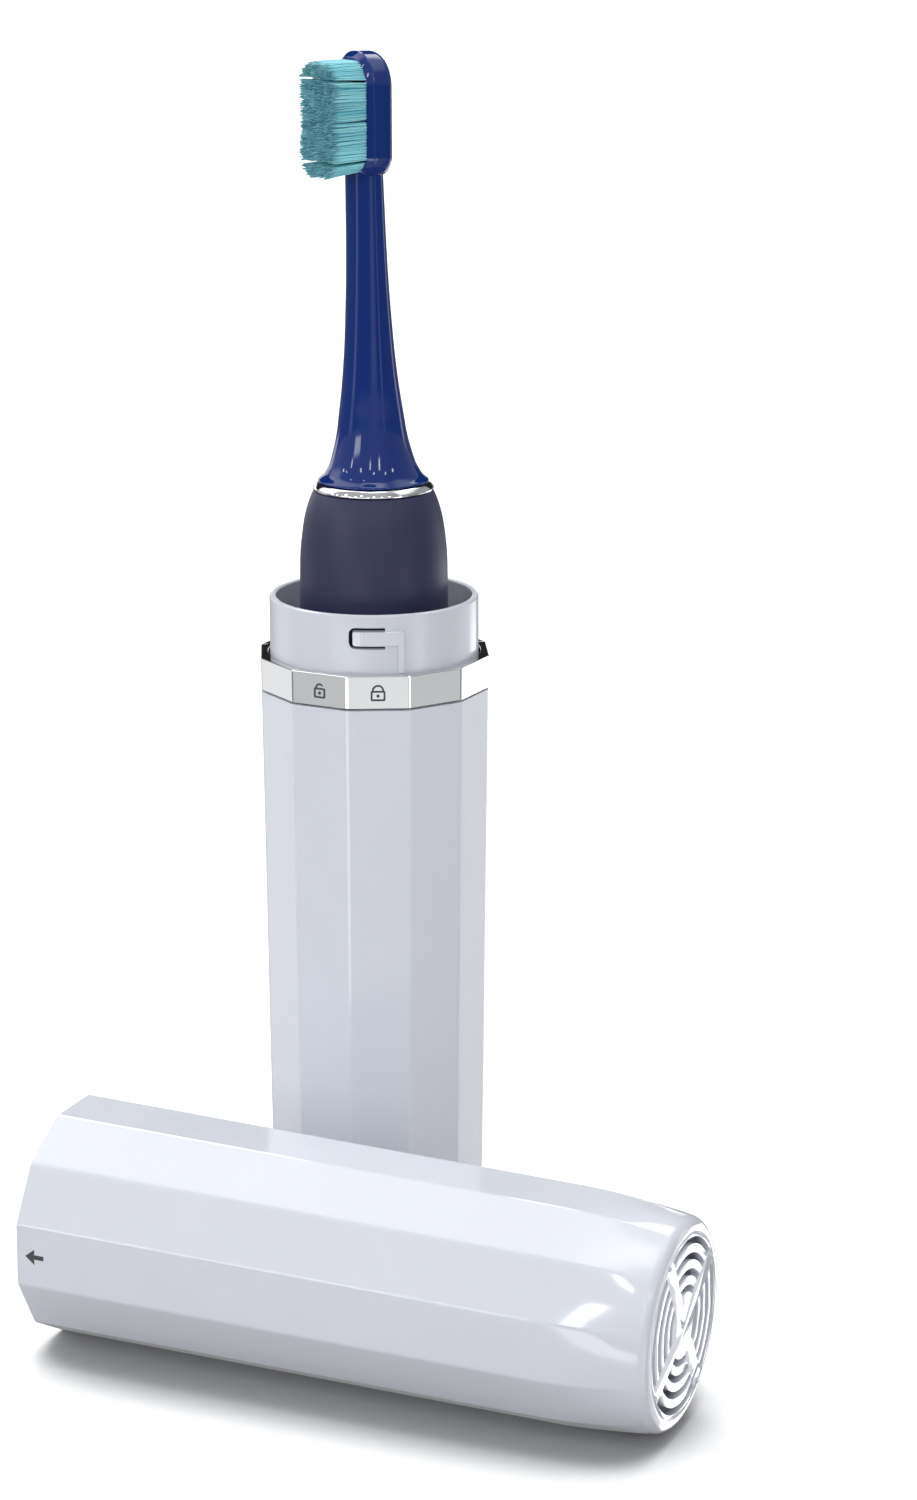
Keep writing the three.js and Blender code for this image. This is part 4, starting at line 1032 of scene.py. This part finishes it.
# %% Cap shell
CAP_BORE = 17.0
BORE_DEPTH = 10.2
WALL = 1.863
HOLE = 13.72
HOLE_SOFT = 0.02
MOUTH_CHAMFER = 0.15
SEAT_LOW = 97.1
SEAT_HIGH = 98.3
SEAT_IN = 13.1
SEAT_OUT = 14.35

cap_at = lambda distance: HALF_HEIGHT - distance
cap = start_facets("upper_shell", CORNER, MOUTH_SOFT)
shoulder(cap, SHOULDER, cap_at)
round_end(cap, cap_at)
seat_rings = [(HOLE, SEAT_HIGH), (SEAT_IN, SEAT_HIGH), (SEAT_IN, SEAT_LOW)]
for half, height in [(HOLE + HOLE_SOFT, HALF_HEIGHT), (HOLE, HALF_HEIGHT - HOLE_SOFT), *seat_rings]:
    ring_to(cap, height, half)
pick_ring(cap, MOUTH_SOFT, band_half - SLACK, CORNER)
soft_edge(cap, 0, band_half, MOUTH_SOFT, way=-1)
ring_to(cap, 0, CAP_BORE + MOUTH_CHAMFER, rounder=1.0)
ring_to(cap, MOUTH_CHAMFER, CAP_BORE)
ring_to(cap, BORE_DEPTH, CAP_BORE)
bpy.ops.object.mode_set(mode="OBJECT")

inner_start = corner_at(HALF_HEIGHT - BORE_DEPTH) - WALL
inner = start_facets("inner_wall", inner_start, BORE_DEPTH, edge_round=1.0)
shoulder(inner, [END_LENGTH, 16.0, 13.0, 10.0, 7.0, 4.5], cap_at, inset=WALL)
ring_to(inner, SEAT_LOW, SEAT_OUT, rounder=1.0)
bpy.ops.object.mode_set(mode="OBJECT")
take(cap)
inner.select_set(True)
bpy.ops.object.join()
bpy.ops.object.mode_set(mode="EDIT")
bridge(cap, (SEAT_LOW, SEAT_IN, SEAT_IN), (SEAT_LOW, SEAT_OUT, SEAT_OUT))
inner_flat = inner_start * math.cos(FACET_HALF) - SLACK
bridge(cap, (BORE_DEPTH, CAP_BORE, CAP_BORE), (BORE_DEPTH, inner_flat, inner_start))
close_up(cap, 28)
modify(cap, "WEIGHTED_NORMAL", keep_sharp=True)
install(cap, cap_place, "cap", shell_gloss, "shell", "cap_shell")

# %% [markdown]
# Two lugs inside the mouth ride over the collar's ribs. Each is a slice of a ring: the ring is turned,
# and two bisecting planes through the axis leave only the slice.

# %% Lugs
LUG_FROM, LUG_TO = -2.9, 9.9

lugs = turned("cap_lugs", [(16.5, 0.8), (17.3, 0.8), (17.3, 4.0), (16.5, 4.0)], points=144, loop=True)
take(lugs)
bpy.ops.object.mode_set(mode="EDIT")
for degrees, side in ((LUG_FROM, 1), (LUG_TO, -1)):
    angle = math.radians(degrees - 90)
    normal = (-math.sin(angle) * side, math.cos(angle) * side, 0)
    bpy.ops.mesh.select_all(action="SELECT")
    bpy.ops.mesh.bisect(plane_co=(0, 0, 0), plane_no=normal, use_fill=True, clear_inner=True)
bpy.ops.object.mode_set(mode="OBJECT")
print("lug spans", [round(c / MM, 2) for c in lugs.dimensions])
soften(lugs, 0.12, segments=2)
opposite(lugs)
install(lugs, cap_place, "cap", shell_gloss, "shell")

# %% [markdown]
# ## Vent grille
# The cap's end lets the brush dry: four rows of arc slots between four spokes. The slots are cut in one
# go. Four flat rings are turned, a cross of two bars is taken out of them, and what is left, sixteen
# arcs with ends that run along the spokes, is taken out of the disc. Small nubs keep the end off a shelf.

# %% Vent grille
GRILLE_RADIUS = 13.7
GRILLE_LOW, GRILLE_HIGH = 98.6, 99.98
SPARE = 1.3
CUT_LOW, CUT_HIGH = 98, 101
REACH = 20
SPOKE = 3.1
SPOKE_TURN = math.pi / 6
FIRST_SLOT = 12.95
SLOT_PITCH = 2.33
SLOT_WIDE = 1.07
NUB_OUT = 13.1

spare_radius = GRILLE_RADIUS + SPARE
grille = turned("vent_disc", [(spare_radius, GRILLE_LOW), (spare_radius, GRILLE_HIGH)], points=144)
arcs = None
for row in range(4):
    slot_out = FIRST_SLOT - SLOT_PITCH * row
    slot_in = slot_out - SLOT_WIDE
    slot_profile = [(slot_in, CUT_LOW), (slot_out, CUT_LOW), (slot_out, CUT_HIGH), (slot_in, CUT_HIGH)]
    ring = turned("arcs", slot_profile, points=144, loop=True)
    if arcs:
        take(arcs)
        ring.select_set(True)
        bpy.ops.object.join()
    else:
        arcs = ring
cross = block("cross", (-SPOKE / 2, -REACH, CUT_LOW - 1), (SPOKE / 2, REACH, CUT_HIGH + 1))
bar = block("bar", (-REACH, -SPOKE / 2, CUT_LOW - 1.5), (REACH, SPOKE / 2, CUT_HIGH + 1.5))
combine(cross, bar, "UNION")
cross.data.transform(Matrix.Rotation(SPOKE_TURN, 4, "Z"))
combine(arcs, cross, "DIFFERENCE")
combine(grille, arcs, "DIFFERENCE")
dimple = turned("dimple", [(0.2, 99.4), (0.62, 99.95), (0.62, CUT_HIGH)], points=24)
combine(grille, dimple, "DIFFERENCE")
soften(grille, 0.1, segments=2, angle=40)
trimmer = turned("trimmer", [(GRILLE_RADIUS, CUT_LOW), (GRILLE_RADIUS, CUT_HIGH)], points=144)
combine(grille, trimmer, "INTERSECT")
for turn in range(4):
    nub = turned("nub", [(0.42, 99.8), (0.42, 100.1), (0.25, 100.3), (0.1, 100.33)], points=20)
    quarter = Matrix.Rotation(SPOKE_TURN + turn * math.pi / 2, 4, "Z")
    nub.data.transform(quarter @ Matrix.Translation((NUB_OUT * MM, 0, 0)))
    take(grille)
    nub.select_set(True)
    bpy.ops.object.join()
install(grille, cap_place, "cap", shell_gloss, "shell", "vent_grille")

# %% [markdown]
# ## Printed marks
# The marks are plain pictograms that show how to turn the cap: a shut and an open padlock on the band,
# and an arrow on the cap. Each is a very thin solid that lies half sunk in its facet, which keeps its
# edges sharp from any distance.

# %% Padlocks
MARK_HALF = 0.02
MARK_SUNK = 0.005


def stand_on_facet(body, half, height, facet, lean=0.0):
    """Moves a mark, drawn flat in x and z, onto a facet at a height."""
    turn = Matrix.Rotation(facet * 2 * FACET_HALF, 4, "Z")
    place = Matrix.Translation(Vector((0, -half, height)) * MM)
    body.data.transform(turn @ place @ Matrix.Rotation(lean, 4, "X"))
    return body


def flat_ring(name, inner, outer, points=32):
    """A flat ring that stands upright, facing the front."""
    profile = [(inner, -MARK_HALF), (outer, -MARK_HALF), (outer, MARK_HALF), (inner, MARK_HALF)]
    ring = turned(name, profile, points=points, loop=True)
    ring.data.transform(Matrix.Rotation(math.pi / 2, 4, "X"))
    return ring


def padlock(name, half, bow, opened):
    """A padlock's outline with its keyhole, by half its body's width and its bow's radius."""
    line, reach = 0.29, 2
    low, high = -1.3, 0.32
    outer, inner = (0.24, every_edge), (0.08, every_edge)
    body = block(name, (-half, -MARK_HALF, low), (half, MARK_HALF, high), outer)
    inside = block("hollow", (line - half, -1, low + line), (half - line, 1, high - line), inner)
    combine(body, inside, "DIFFERENCE")
    shackle = flat_ring("shackle", bow - line, bow)
    shackle.data.transform(Matrix.Translation((0, 0, high * MM)))
    lower_half = block("lower_half", (-reach, -1, -reach), (reach, 1, high - line / 2))
    combine(shackle, lower_half, "DIFFERENCE")
    if opened:
        side = block("side", (bow * 0.2, -1, -reach), (reach, 1, high + bow * 0.45))
        combine(shackle, side, "DIFFERENCE")
    combine(body, shackle, "UNION")
    keyhole = turned("keyhole", [(0.25, -MARK_HALF), (0.25, MARK_HALF)], points=20)
    keyhole.data.transform(Matrix.Translation((0, 0, -0.5 * MM)) @ Matrix.Rotation(math.pi / 2, 4, "X"))
    take(body)
    keyhole.select_set(True)
    bpy.ops.object.join()
    return body


LOCK_HEIGHT = 97.4
shut = stand_on_facet(padlock("mark_shut", 1.13, 0.94, False), band_half - MARK_SUNK, LOCK_HEIGHT, 0)
opened = stand_on_facet(padlock("mark_open", 0.98, 0.72, True), band_half - MARK_SUNK, LOCK_HEIGHT, -1)
install(shut, case_place, "case", ink, None)
install(opened, case_place, "case", ink, None)

# %% [markdown]
# The arrow's head is a three-sided cylinder. It is laid on its side, turned until its point is down, and
# stretched. A copy of it, moved back, cuts the notch behind its barbs, and the shaft is a block.

# %% Arrow
ARROW_UP = 3.0
TIP, BARB_WIDE, BARB_TALL = 1.5, 2.5, 1.55
NOTCH = 0.95
SHAFT_HALF, SHAFT_LOW, SHAFT_HIGH = 0.36, 2.15, 4.6

arrow = block("mark_arrow", (-SHAFT_HALF, -MARK_HALF, SHAFT_LOW), (SHAFT_HALF, MARK_HALF, SHAFT_HIGH))
deselect()
bpy.ops.mesh.primitive_cylinder_add(vertices=3, radius=MM, depth=2 * MARK_HALF * MM)
arrow_head = bpy.context.object
bpy.ops.object.transform_apply(location=True, rotation=True, scale=True)
bpy.ops.object.mode_set(mode="EDIT")
bpy.ops.mesh.select_all(action="SELECT")
bpy.ops.transform.rotate(value=math.pi / 2, orient_axis="X", center_override=(0, 0, 0))
bpy.ops.object.mode_set(mode="OBJECT")
points = np.array([point.co[:] for point in arrow_head.data.vertices]) / MM
if points[:, 2].max() > -points[:, 2].min():
    arrow_head.data.transform(Matrix.Rotation(math.pi, 4, "Y"))
points = np.array([point.co[:] for point in arrow_head.data.vertices]) / MM
across, tall, tip = np.ptp(points[:, 0]), np.ptp(points[:, 2]), points[:, 2].min()
stretch = Matrix.Diagonal((BARB_WIDE / across, 1, BARB_TALL / tall, 1))
to_origin = Matrix.Translation((0, 0, -tip * MM))
arrow_head.data.transform(Matrix.Translation((0, 0, TIP * MM)) @ stretch @ to_origin)
notch = arrow_head.copy()
notch.data = arrow_head.data.copy()
bpy.context.scene.collection.objects.link(notch)
notch.data.transform(Matrix.Translation((0, 0, NOTCH * MM)) @ Matrix.Diagonal((1, 20, 1, 1)))
combine(arrow_head, notch, "DIFFERENCE")
combine(arrow, arrow_head, "UNION")
arrow.data.transform(Matrix.Translation((0, 0, -ARROW_UP * MM)))
cap_half = corner_at(HALF_HEIGHT - ARROW_UP) * math.cos(FACET_HALF)
stand_on_facet(arrow, cap_half - MARK_SUNK, ARROW_UP, 0, lean=-draft)
install(arrow, cap_place, "cap", ink, None)

# %% [markdown]
# ## Handle
# The handle is a soft skin over a rigid tube. It is straight for most of its length and draws in at the
# shoulder, so its profile is a curve through a few measured radii. The openings for the button and the
# light are cut with capsules.

# %% Handle
def curve_through(stops, steps=4):
    """Points on a smooth curve that passes through all stops."""
    stops = [np.array(stop, dtype=float) for stop in stops]
    run = [stops[0], *stops, stops[-1]]
    points = []
    for a, b, c, d in zip(run, run[1:], run[2:], run[3:]):
        for step in range(steps):
            t = step / steps
            bend = (2 * a - 5 * b + 4 * c - d) * t**2
            twist = (3 * b - a - 3 * c + d) * t**3
            points.append(0.5 * (2 * b + (c - a) * t + bend + twist))
    return [tuple(point) for point in points] + [tuple(stops[-1])]


HANDLE = [
    (12.0, 6.3), (12.2, 33.1), (12.2, 53.2), (11.845, 83.37), (11.59, 100.13), (11.516, 106.83),
    (11.37, 109.62), (11.0, 112.75), (10.6, 114.87), (10.08, 116.66), (9.62, 117.85), (9.3, 118.5),
]


def capsule(name, wide, tall, height, back, front):
    """An upright capsule that reaches forwards between two depths."""
    half, low, high = wide / 2, height - tall / 2, height + tall / 2
    return block(name, (-half, -front, low), (half, -back, high), (half - SLACK, every_edge), steps=10)


HANDLE_WALL, WALL_TOP = 1.4, 114
BUTTON_UP, BUTTON_WIDE, BUTTON_TALL = 80.95, 6.4, 12.4
LIGHT_UP, LIGHT_WIDE, LIGHT_TALL = 65.95, 1.9, 5.2
GAP = 0.3
HOLE_BACK, HOLE_FRONT = 7.0, 14.0

outer = curve_through(HANDLE)
inner_wall = [(radius - HANDLE_WALL, height) for radius, height in outer[::4] if height < WALL_TOP]
profile = outer + [(9.1, 118.6), (6.15, 118.0), (6.0, 117.85), (6.0, 116.4), (8.7, 116.4)] + inner_wall[::-1]
grip = turned("grip", profile, points=128, loop=True)
for up, wide, tall in ((BUTTON_UP, BUTTON_WIDE, BUTTON_TALL), (LIGHT_UP, LIGHT_WIDE, LIGHT_TALL)):
    hole = capsule("hole", wide + 2 * GAP, tall + 2 * GAP, up, HOLE_BACK, HOLE_FRONT)
    combine(grip, hole, "DIFFERENCE")
soften(grip, 0.12, segments=2, angle=50)
install(grip, brush_place, "brush", soft_touch, "handle", "handle_shell")

bottom_edge = [(9.68 + 2.2 * math.sin(a), 2.2 - 2.2 * math.cos(a)) for a in np.linspace(0, math.pi / 2, 9)]
cap_profile = bottom_edge + [
    (11.88, 5.8), (11.7, 6.0), (10.25, 6.0), (10.25, 8.9), (9.55, 8.9), (9.55, 10.1), (10.25, 10.1),
    (10.25, 13.0), (8.65, 13.0), (8.65, 1.6),
]
base = turned("base_cap", cap_profile, points=128)
install(base, brush_place, "brush", soft_touch, "handle", "end_cap")

# %% [markdown]
# The chrome ring closes the top of the handle. Its face slopes in towards the head, so it mirrors the
# light over it all round, in white and grey.

# %% Trim ring
ring_profile = [
    (6.6, 118.75), (6.65, 118.7), (9.1, 118.7), (9.26, 118.74), (9.36, 118.82), (9.39, 118.94),
    (9.36, 119.06), (9.2, 119.3), (9.02, 119.54), (8.88, 119.7), (8.76, 119.8), (8.62, 119.85),
    (6.65, 119.85), (6.6, 119.8),
]
trim = turned("ring_chrome", ring_profile, points=144, loop=True)
install(trim, brush_place, "brush", chrome_plate, "chrome", "trim_ring")

# %% [markdown]
# The button and the light are on the bristle side of the handle, so at rest they are hidden in the case.
# The button's face carries the usual mark for switching on: a broken ring with a bar in its gap.

# %% Button and light
BUTTON_BACK, BUTTON_FRONT = 10.45, 12.17
LIGHT_BACK, LIGHT_FRONT = 8.95, 11.95

button = capsule("button", BUTTON_WIDE, BUTTON_TALL, BUTTON_UP, BUTTON_BACK, BUTTON_FRONT)
soften(button, 0.35, segments=4, angle=50)
install(button, brush_place, "button", soft_touch, "handle", "power_button")
power = flat_ring("mark_power", 0.8, 1.05, points=48)
gap = block("gap", (-0.42, -1, 0.2), (0.42, 1, 2))
combine(power, gap, "DIFFERENCE")
power_bar = block("power_bar", (-0.13, -MARK_HALF, 0.25), (0.13, MARK_HALF, 1.3))
take(power)
power_bar.select_set(True)
bpy.ops.object.join()
stand_on_facet(power, BUTTON_FRONT - MARK_SUNK, BUTTON_UP, 0)
install(power, brush_place, "button", pale_ink, None)
light = capsule("light", LIGHT_WIDE, LIGHT_TALL, LIGHT_UP, LIGHT_BACK, LIGHT_FRONT)
soften(light, 0.25, segments=3, angle=50)
install(light, brush_place, "brush", lens_clear, "lens", "indicator_lens")

# %% [markdown]
# The boot at the top of the handle has one fold, which lets the shaft swing but keeps water out. The
# shaft is ground flat on one side where the head grips it.

# %% Boot and shaft
FLAT_LOW, FLAT_FROM_AXIS = 124.6, 1.15

boot = turned(
    "boot",
    [
        (1.8, 114.9), (7.1, 114.9), (7.1, 116.1), (5.7, 116.1), (5.7, 119.7), (5.2, 121.1), (4.2, 121.1),
        (4.7, 122.5), (3.2, 122.5), (2.7, 123.9), (1.8, 123.9),
    ],
    points=72, loop=True, soft=0.2,
)
install(boot, brush_place, "brush", rubber, "rubber", "shaft_seal")
shaft = turned("shaft", [(1.2, 68.63), (1.5, 68.9), (1.5, 133.3), (1.2, 133.6)], points=48)
combine(shaft, block("flat", (-2, -3, FLAT_LOW), (2, -FLAT_FROM_AXIS, 135)), "DIFFERENCE")
soften(shaft, 0.08, segments=2, angle=30)
install(shaft, brush_place, "drive", ground_steel, "steel", "drive_shaft")

# %% [markdown]
# ## Brush head
# The neck rises out of a flared skirt, gets thinner, and leans towards the bristles while its section
# goes from round to oval. Each stop holds three shares: of the neck's height, of the flare from its thin
# end to the skirt, and of its lean.

# %% Neck
HEAD_BASE = 120.0
NECK_RISE = 48.9
TOP_RADIUS = 3.15
SKIRT_RADIUS = 8.6
SKIRT_SOFT = 0.05
TOP_WIDER, TOP_THINNER, TOP_LEAN = 0.19, 0.22, 1.35
NECK = [
    (0, 1, 0), (0.006, 0.983, 0), (0.019, 0.835, 0), (0.033, 0.753, 0.01), (0.063, 0.631, 0.05),
    (0.141, 0.454, 0.14), (0.217, 0.358, 0.22), (0.294, 0.268, 0.3), (0.37, 0.2, 0.38),
    (0.446, 0.147, 0.45), (0.593, 0.076, 0.6), (0.746, 0.032, 0.75), (1, 0, 1),
]

skirt_start = SKIRT_RADIUS - SKIRT_SOFT
neck = start_ring("head", 96, skirt_start, HEAD_BASE)
for along, widen, lean in curve_through(NECK, steps=4)[1:]:
    radius = TOP_RADIUS + (SKIRT_RADIUS - TOP_RADIUS) * widen
    wide, thick = radius * (1 + TOP_WIDER * lean), radius * (1 - TOP_THINNER * lean)
    ring_to(neck, HEAD_BASE + along * NECK_RISE, wide, thick, forward=TOP_LEAN * lean)
bpy.ops.mesh.edge_face_add()
pick_ring(neck, HEAD_BASE, skirt_start, skirt_start)
bpy.ops.mesh.edge_face_add()
close_up(neck)
print("neck points", len(neck.data.vertices))

# %% [markdown]
# The plate is a rounded block with a chamfer around its front, as the light edge in the photo shows, and
# a wide round behind. It is united with the neck, and the hollow that takes the boot and the shaft is
# cut last.

# %% Plate
PLATE_LOW, PLATE_HIGH = 166.9, 185.5
PLATE_FRONT, PLATE_BACK = 3.7, 1.0
PLATE_HALF = 5.5
TOP_ROUND, LOW_ROUND = 5.1, 3.2
CHAMFER, BACK_ROUND = 0.95, 1.6

top_corners = lambda x, z: z > 0
low_corners = lambda x, z: z < 0
plate = block(
    "plate", (-PLATE_HALF, -PLATE_FRONT, PLATE_LOW), (PLATE_HALF, PLATE_BACK, PLATE_HIGH),
    (TOP_ROUND, top_corners), (LOW_ROUND, low_corners), steps=28,
)
for level, width, steps in ((PLATE_BACK, BACK_ROUND, 6), (-PLATE_FRONT, CHAMFER, 1)):
    bevel_chosen(plate, lambda a, b: max(abs(a.y - level), abs(b.y - level)) < NEAR, width, steps)
soften(plate, 0.16, segments=3, angle=40)
combine(neck, plate, "UNION")
hollow = turned(
    "hollow", [(6.3, 119.0), (6.3, 120.3), (5.3, 122.5), (3.8, 124.5), (3.3, 124.5), (3.3, 136.1)], points=72
)
combine(neck, hollow, "DIFFERENCE")
take(neck)
bpy.ops.object.shade_smooth_by_angle(angle=math.radians(32))
modify(neck, "WEIGHTED_NORMAL", keep_sharp=True)
install(neck, brush_place, "head", head_gloss, "head", "head_body")

# %% [markdown]
# ## Bristles
# A bristle is a nylon thread with a rounded tip. One is modelled, as a five-sided rod of height 1 that
# gets thinner and bows a little. Its points and faces are kept for planting, and the rod is removed.

# %% One bristle
ONE_BRISTLE = [(0.3, 0.097, 0.02), (0.62, 0.093, 0.05), (0.93, 0.088, 0.03), (0.985, 0.066, 0.01)]

one = start_ring("bristle", 5, 0.098, 0.0)
for height, radius, bow in ONE_BRISTLE:
    ring_to(one, height, radius, forward=bow)
ring_to(one, 1.0, 0.03)
bpy.ops.mesh.edge_face_add()
pick_ring(one, 0.0, 0.0, 0.11)
bpy.ops.mesh.edge_face_add()
close_up(one, 60)
bristle_points = np.array([point.co[:] for point in one.data.vertices]) / MM
bristle_faces = [tuple(face.vertices) for face in one.data.polygons]
bpy.data.objects.remove(one, do_unlink=True)
print("points in a bristle", len(bristle_points))

# %% [markdown]
# The bristle is planted some thousands of times, a quarter of a millimetre apart, each with its own
# length, turn and lean, of which the bristles of one tuft share a part. The tips spread sideways and
# lean up or down with their row, so the four rows close up at their tips as in the photo. Two attributes
# go with every point: how far it is along its bristle, and a tone from the tuft and the bristle.

# %% Rows of bristles
random.seed(11)
PITCH = 0.245
JITTER = 0.04
BRISTLE = 6.15
ROOT_DEPTH = 0.25
FAN = 0.12
TUFT = 1.1
TUFT_LEAN, TUFT_REACH = 0.05, 0.06
SHORTEST, LONGEST = -0.4, 0.15
OWN_SPREAD, OWN_TILT = 0.1, 0.09
FIELD_HALF = 4.65
HEEL_TO, HEEL_LENGTH = 0.2, 0.18
TOE_FROM, TOE_LENGTH = 0.72, 0.235
ROW_EDGE = 0.12
ROWS = [
    # piece, its CAD node, its start and end as shares of the plate's length, lean of its first and last line
    ("bristles_heel", "heel_tufts", 0.04, 0.13, -0.8, -0.6),
    ("bristles_lower", "lower_tufts", 0.145, 0.452, -0.25, -0.1),
    ("bristles_upper", "upper_tufts", 0.468, 0.763, -0.25, 0.2),
    ("bristles_toe", "toe_tufts", 0.779, 0.93, 0.3, -0.3),
]


def field_half_at(share):
    """Half the width of the bristle field at a share of the plate's length. It is round at both ends."""
    beyond = max((share - TOE_FROM) / TOE_LENGTH, (HEEL_TO - share) / HEEL_LENGTH, 0)
    return FIELD_HALF * math.sqrt(max(1 - beyond * beyond, 0))


def plant(name, low, high, lean_low, lean_high):
    """One row of bristles as a single mesh."""
    length = PLATE_HIGH - PLATE_LOW
    bottom, top = low * length + ROW_EDGE, high * length - ROW_EDGE
    lines = max(1, round((top - bottom) / (PITCH * math.cos(math.pi / 6))))
    points, faces, along, tones, tufts = [], [], [], [], {}
    for line in range(lines + 1):
        height = bottom + (top - bottom) * line / lines
        lean = lean_low + (lean_high - lean_low) * line / lines
        half = field_half_at(height / length)
        offset = (line % 2) / 2
        most = int(half / PITCH - offset)
        for column in range(-most - line % 2, most + 1):
            x = (column + offset) * PITCH + random.uniform(-JITTER, JITTER)
            z = height + random.uniform(-JITTER, JITTER)
            cell = (round(x / TUFT + line % 2 * 0.2), round(z / TUFT))
            if cell not in tufts:
                tufts[cell] = [random.gauss(0, TUFT_LEAN), random.gauss(0, TUFT_LEAN)]
                tufts[cell] += [random.uniform(-TUFT_REACH, TUFT_REACH), random.random()]
            tuft_side, tuft_lean, tuft_reach, tuft_tone = tufts[cell]
            reach = BRISTLE + tuft_reach + random.uniform(SHORTEST, LONGEST)
            angle = random.uniform(0, 2 * math.pi)
            spread = x * FAN + tuft_side + random.gauss(0, OWN_SPREAD)
            tilt = lean + tuft_lean + random.gauss(0, OWN_TILT)
            own = bristle_points
            across = own[:, 0] * math.cos(angle) - own[:, 1] * math.sin(angle) + x + spread * own[:, 2]
            upward = own[:, 0] * math.sin(angle) + own[:, 1] * math.cos(angle) + z + tilt * own[:, 2]
            forward = PLATE_FRONT - ROOT_DEPTH + reach * own[:, 2]
            start = len(points) * len(own)
            points.append(np.stack([across, -forward, upward + PLATE_LOW], axis=1))
            faces.extend(tuple(index + start for index in face) for face in bristle_faces)
            # How far a point is along its bristle sets where the finish paints shade at the tip.
            along.append(own[:, 2])
            tones.append(np.full(len(own), tuft_tone * 0.5 + random.random() * 0.5))
    mesh = bpy.data.meshes.new(name)
    mesh.from_pydata((np.concatenate(points) * MM).tolist(), [], faces)
    for label, values in (("along", along), ("tone", tones)):
        mesh.attributes.new(label, "FLOAT", "POINT").data.foreach_set("value", np.concatenate(values))
    mesh.update()
    row = bpy.data.objects.new(name, mesh)
    bpy.context.scene.collection.objects.link(row)
    take(row)
    bpy.ops.object.mode_set(mode="EDIT")
    return close_up(row, 60)


for name, node, *row in ROWS:
    install(plant(name, *row), brush_place, "head", bristle_fibre, "bristle", node)

# %% [markdown]
# ## Inside
# The drive, the cell and the coil keep their CAD shapes, because nothing of them can be seen until the
# handle is taken apart. Each gets the finish of what it is made of.

# %% Inner pieces
INNER_FINISHES = {
    "battery_cell": cell_wrap,
    "charge_coil": wound_copper,
    "coil_core": ferrite_block,
    "rotor": ferrite_block,
    "tact_switch": switch_black,
    "chassis": chassis_plastic,
    "motor_cover": chassis_plastic,
    "circuit_board": board_green,
    "contact_low": nickel,
    "contact_high": nickel,
    "motor_can": nickel,
    "shaft_bush": ground_steel,
    "end_seal": rubber,
}
for name, material in INNER_FINISHES.items():
    node = bpy.data.objects[name]
    node.data.materials.clear()
    node.data.materials.append(material)
print("inner pieces", len(INNER_FINISHES))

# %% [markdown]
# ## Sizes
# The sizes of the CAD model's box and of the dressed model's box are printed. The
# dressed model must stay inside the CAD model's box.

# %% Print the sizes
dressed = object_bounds()
boxes = {
    "cad": [list(corner) for corner in cad_bounds],
    "scene": [list(corner) for corner in dressed],
}
for label, (low, high) in boxes.items():
    print(label, [round((b - a) / MM, 2) for a, b in zip(low, high)], "mm")
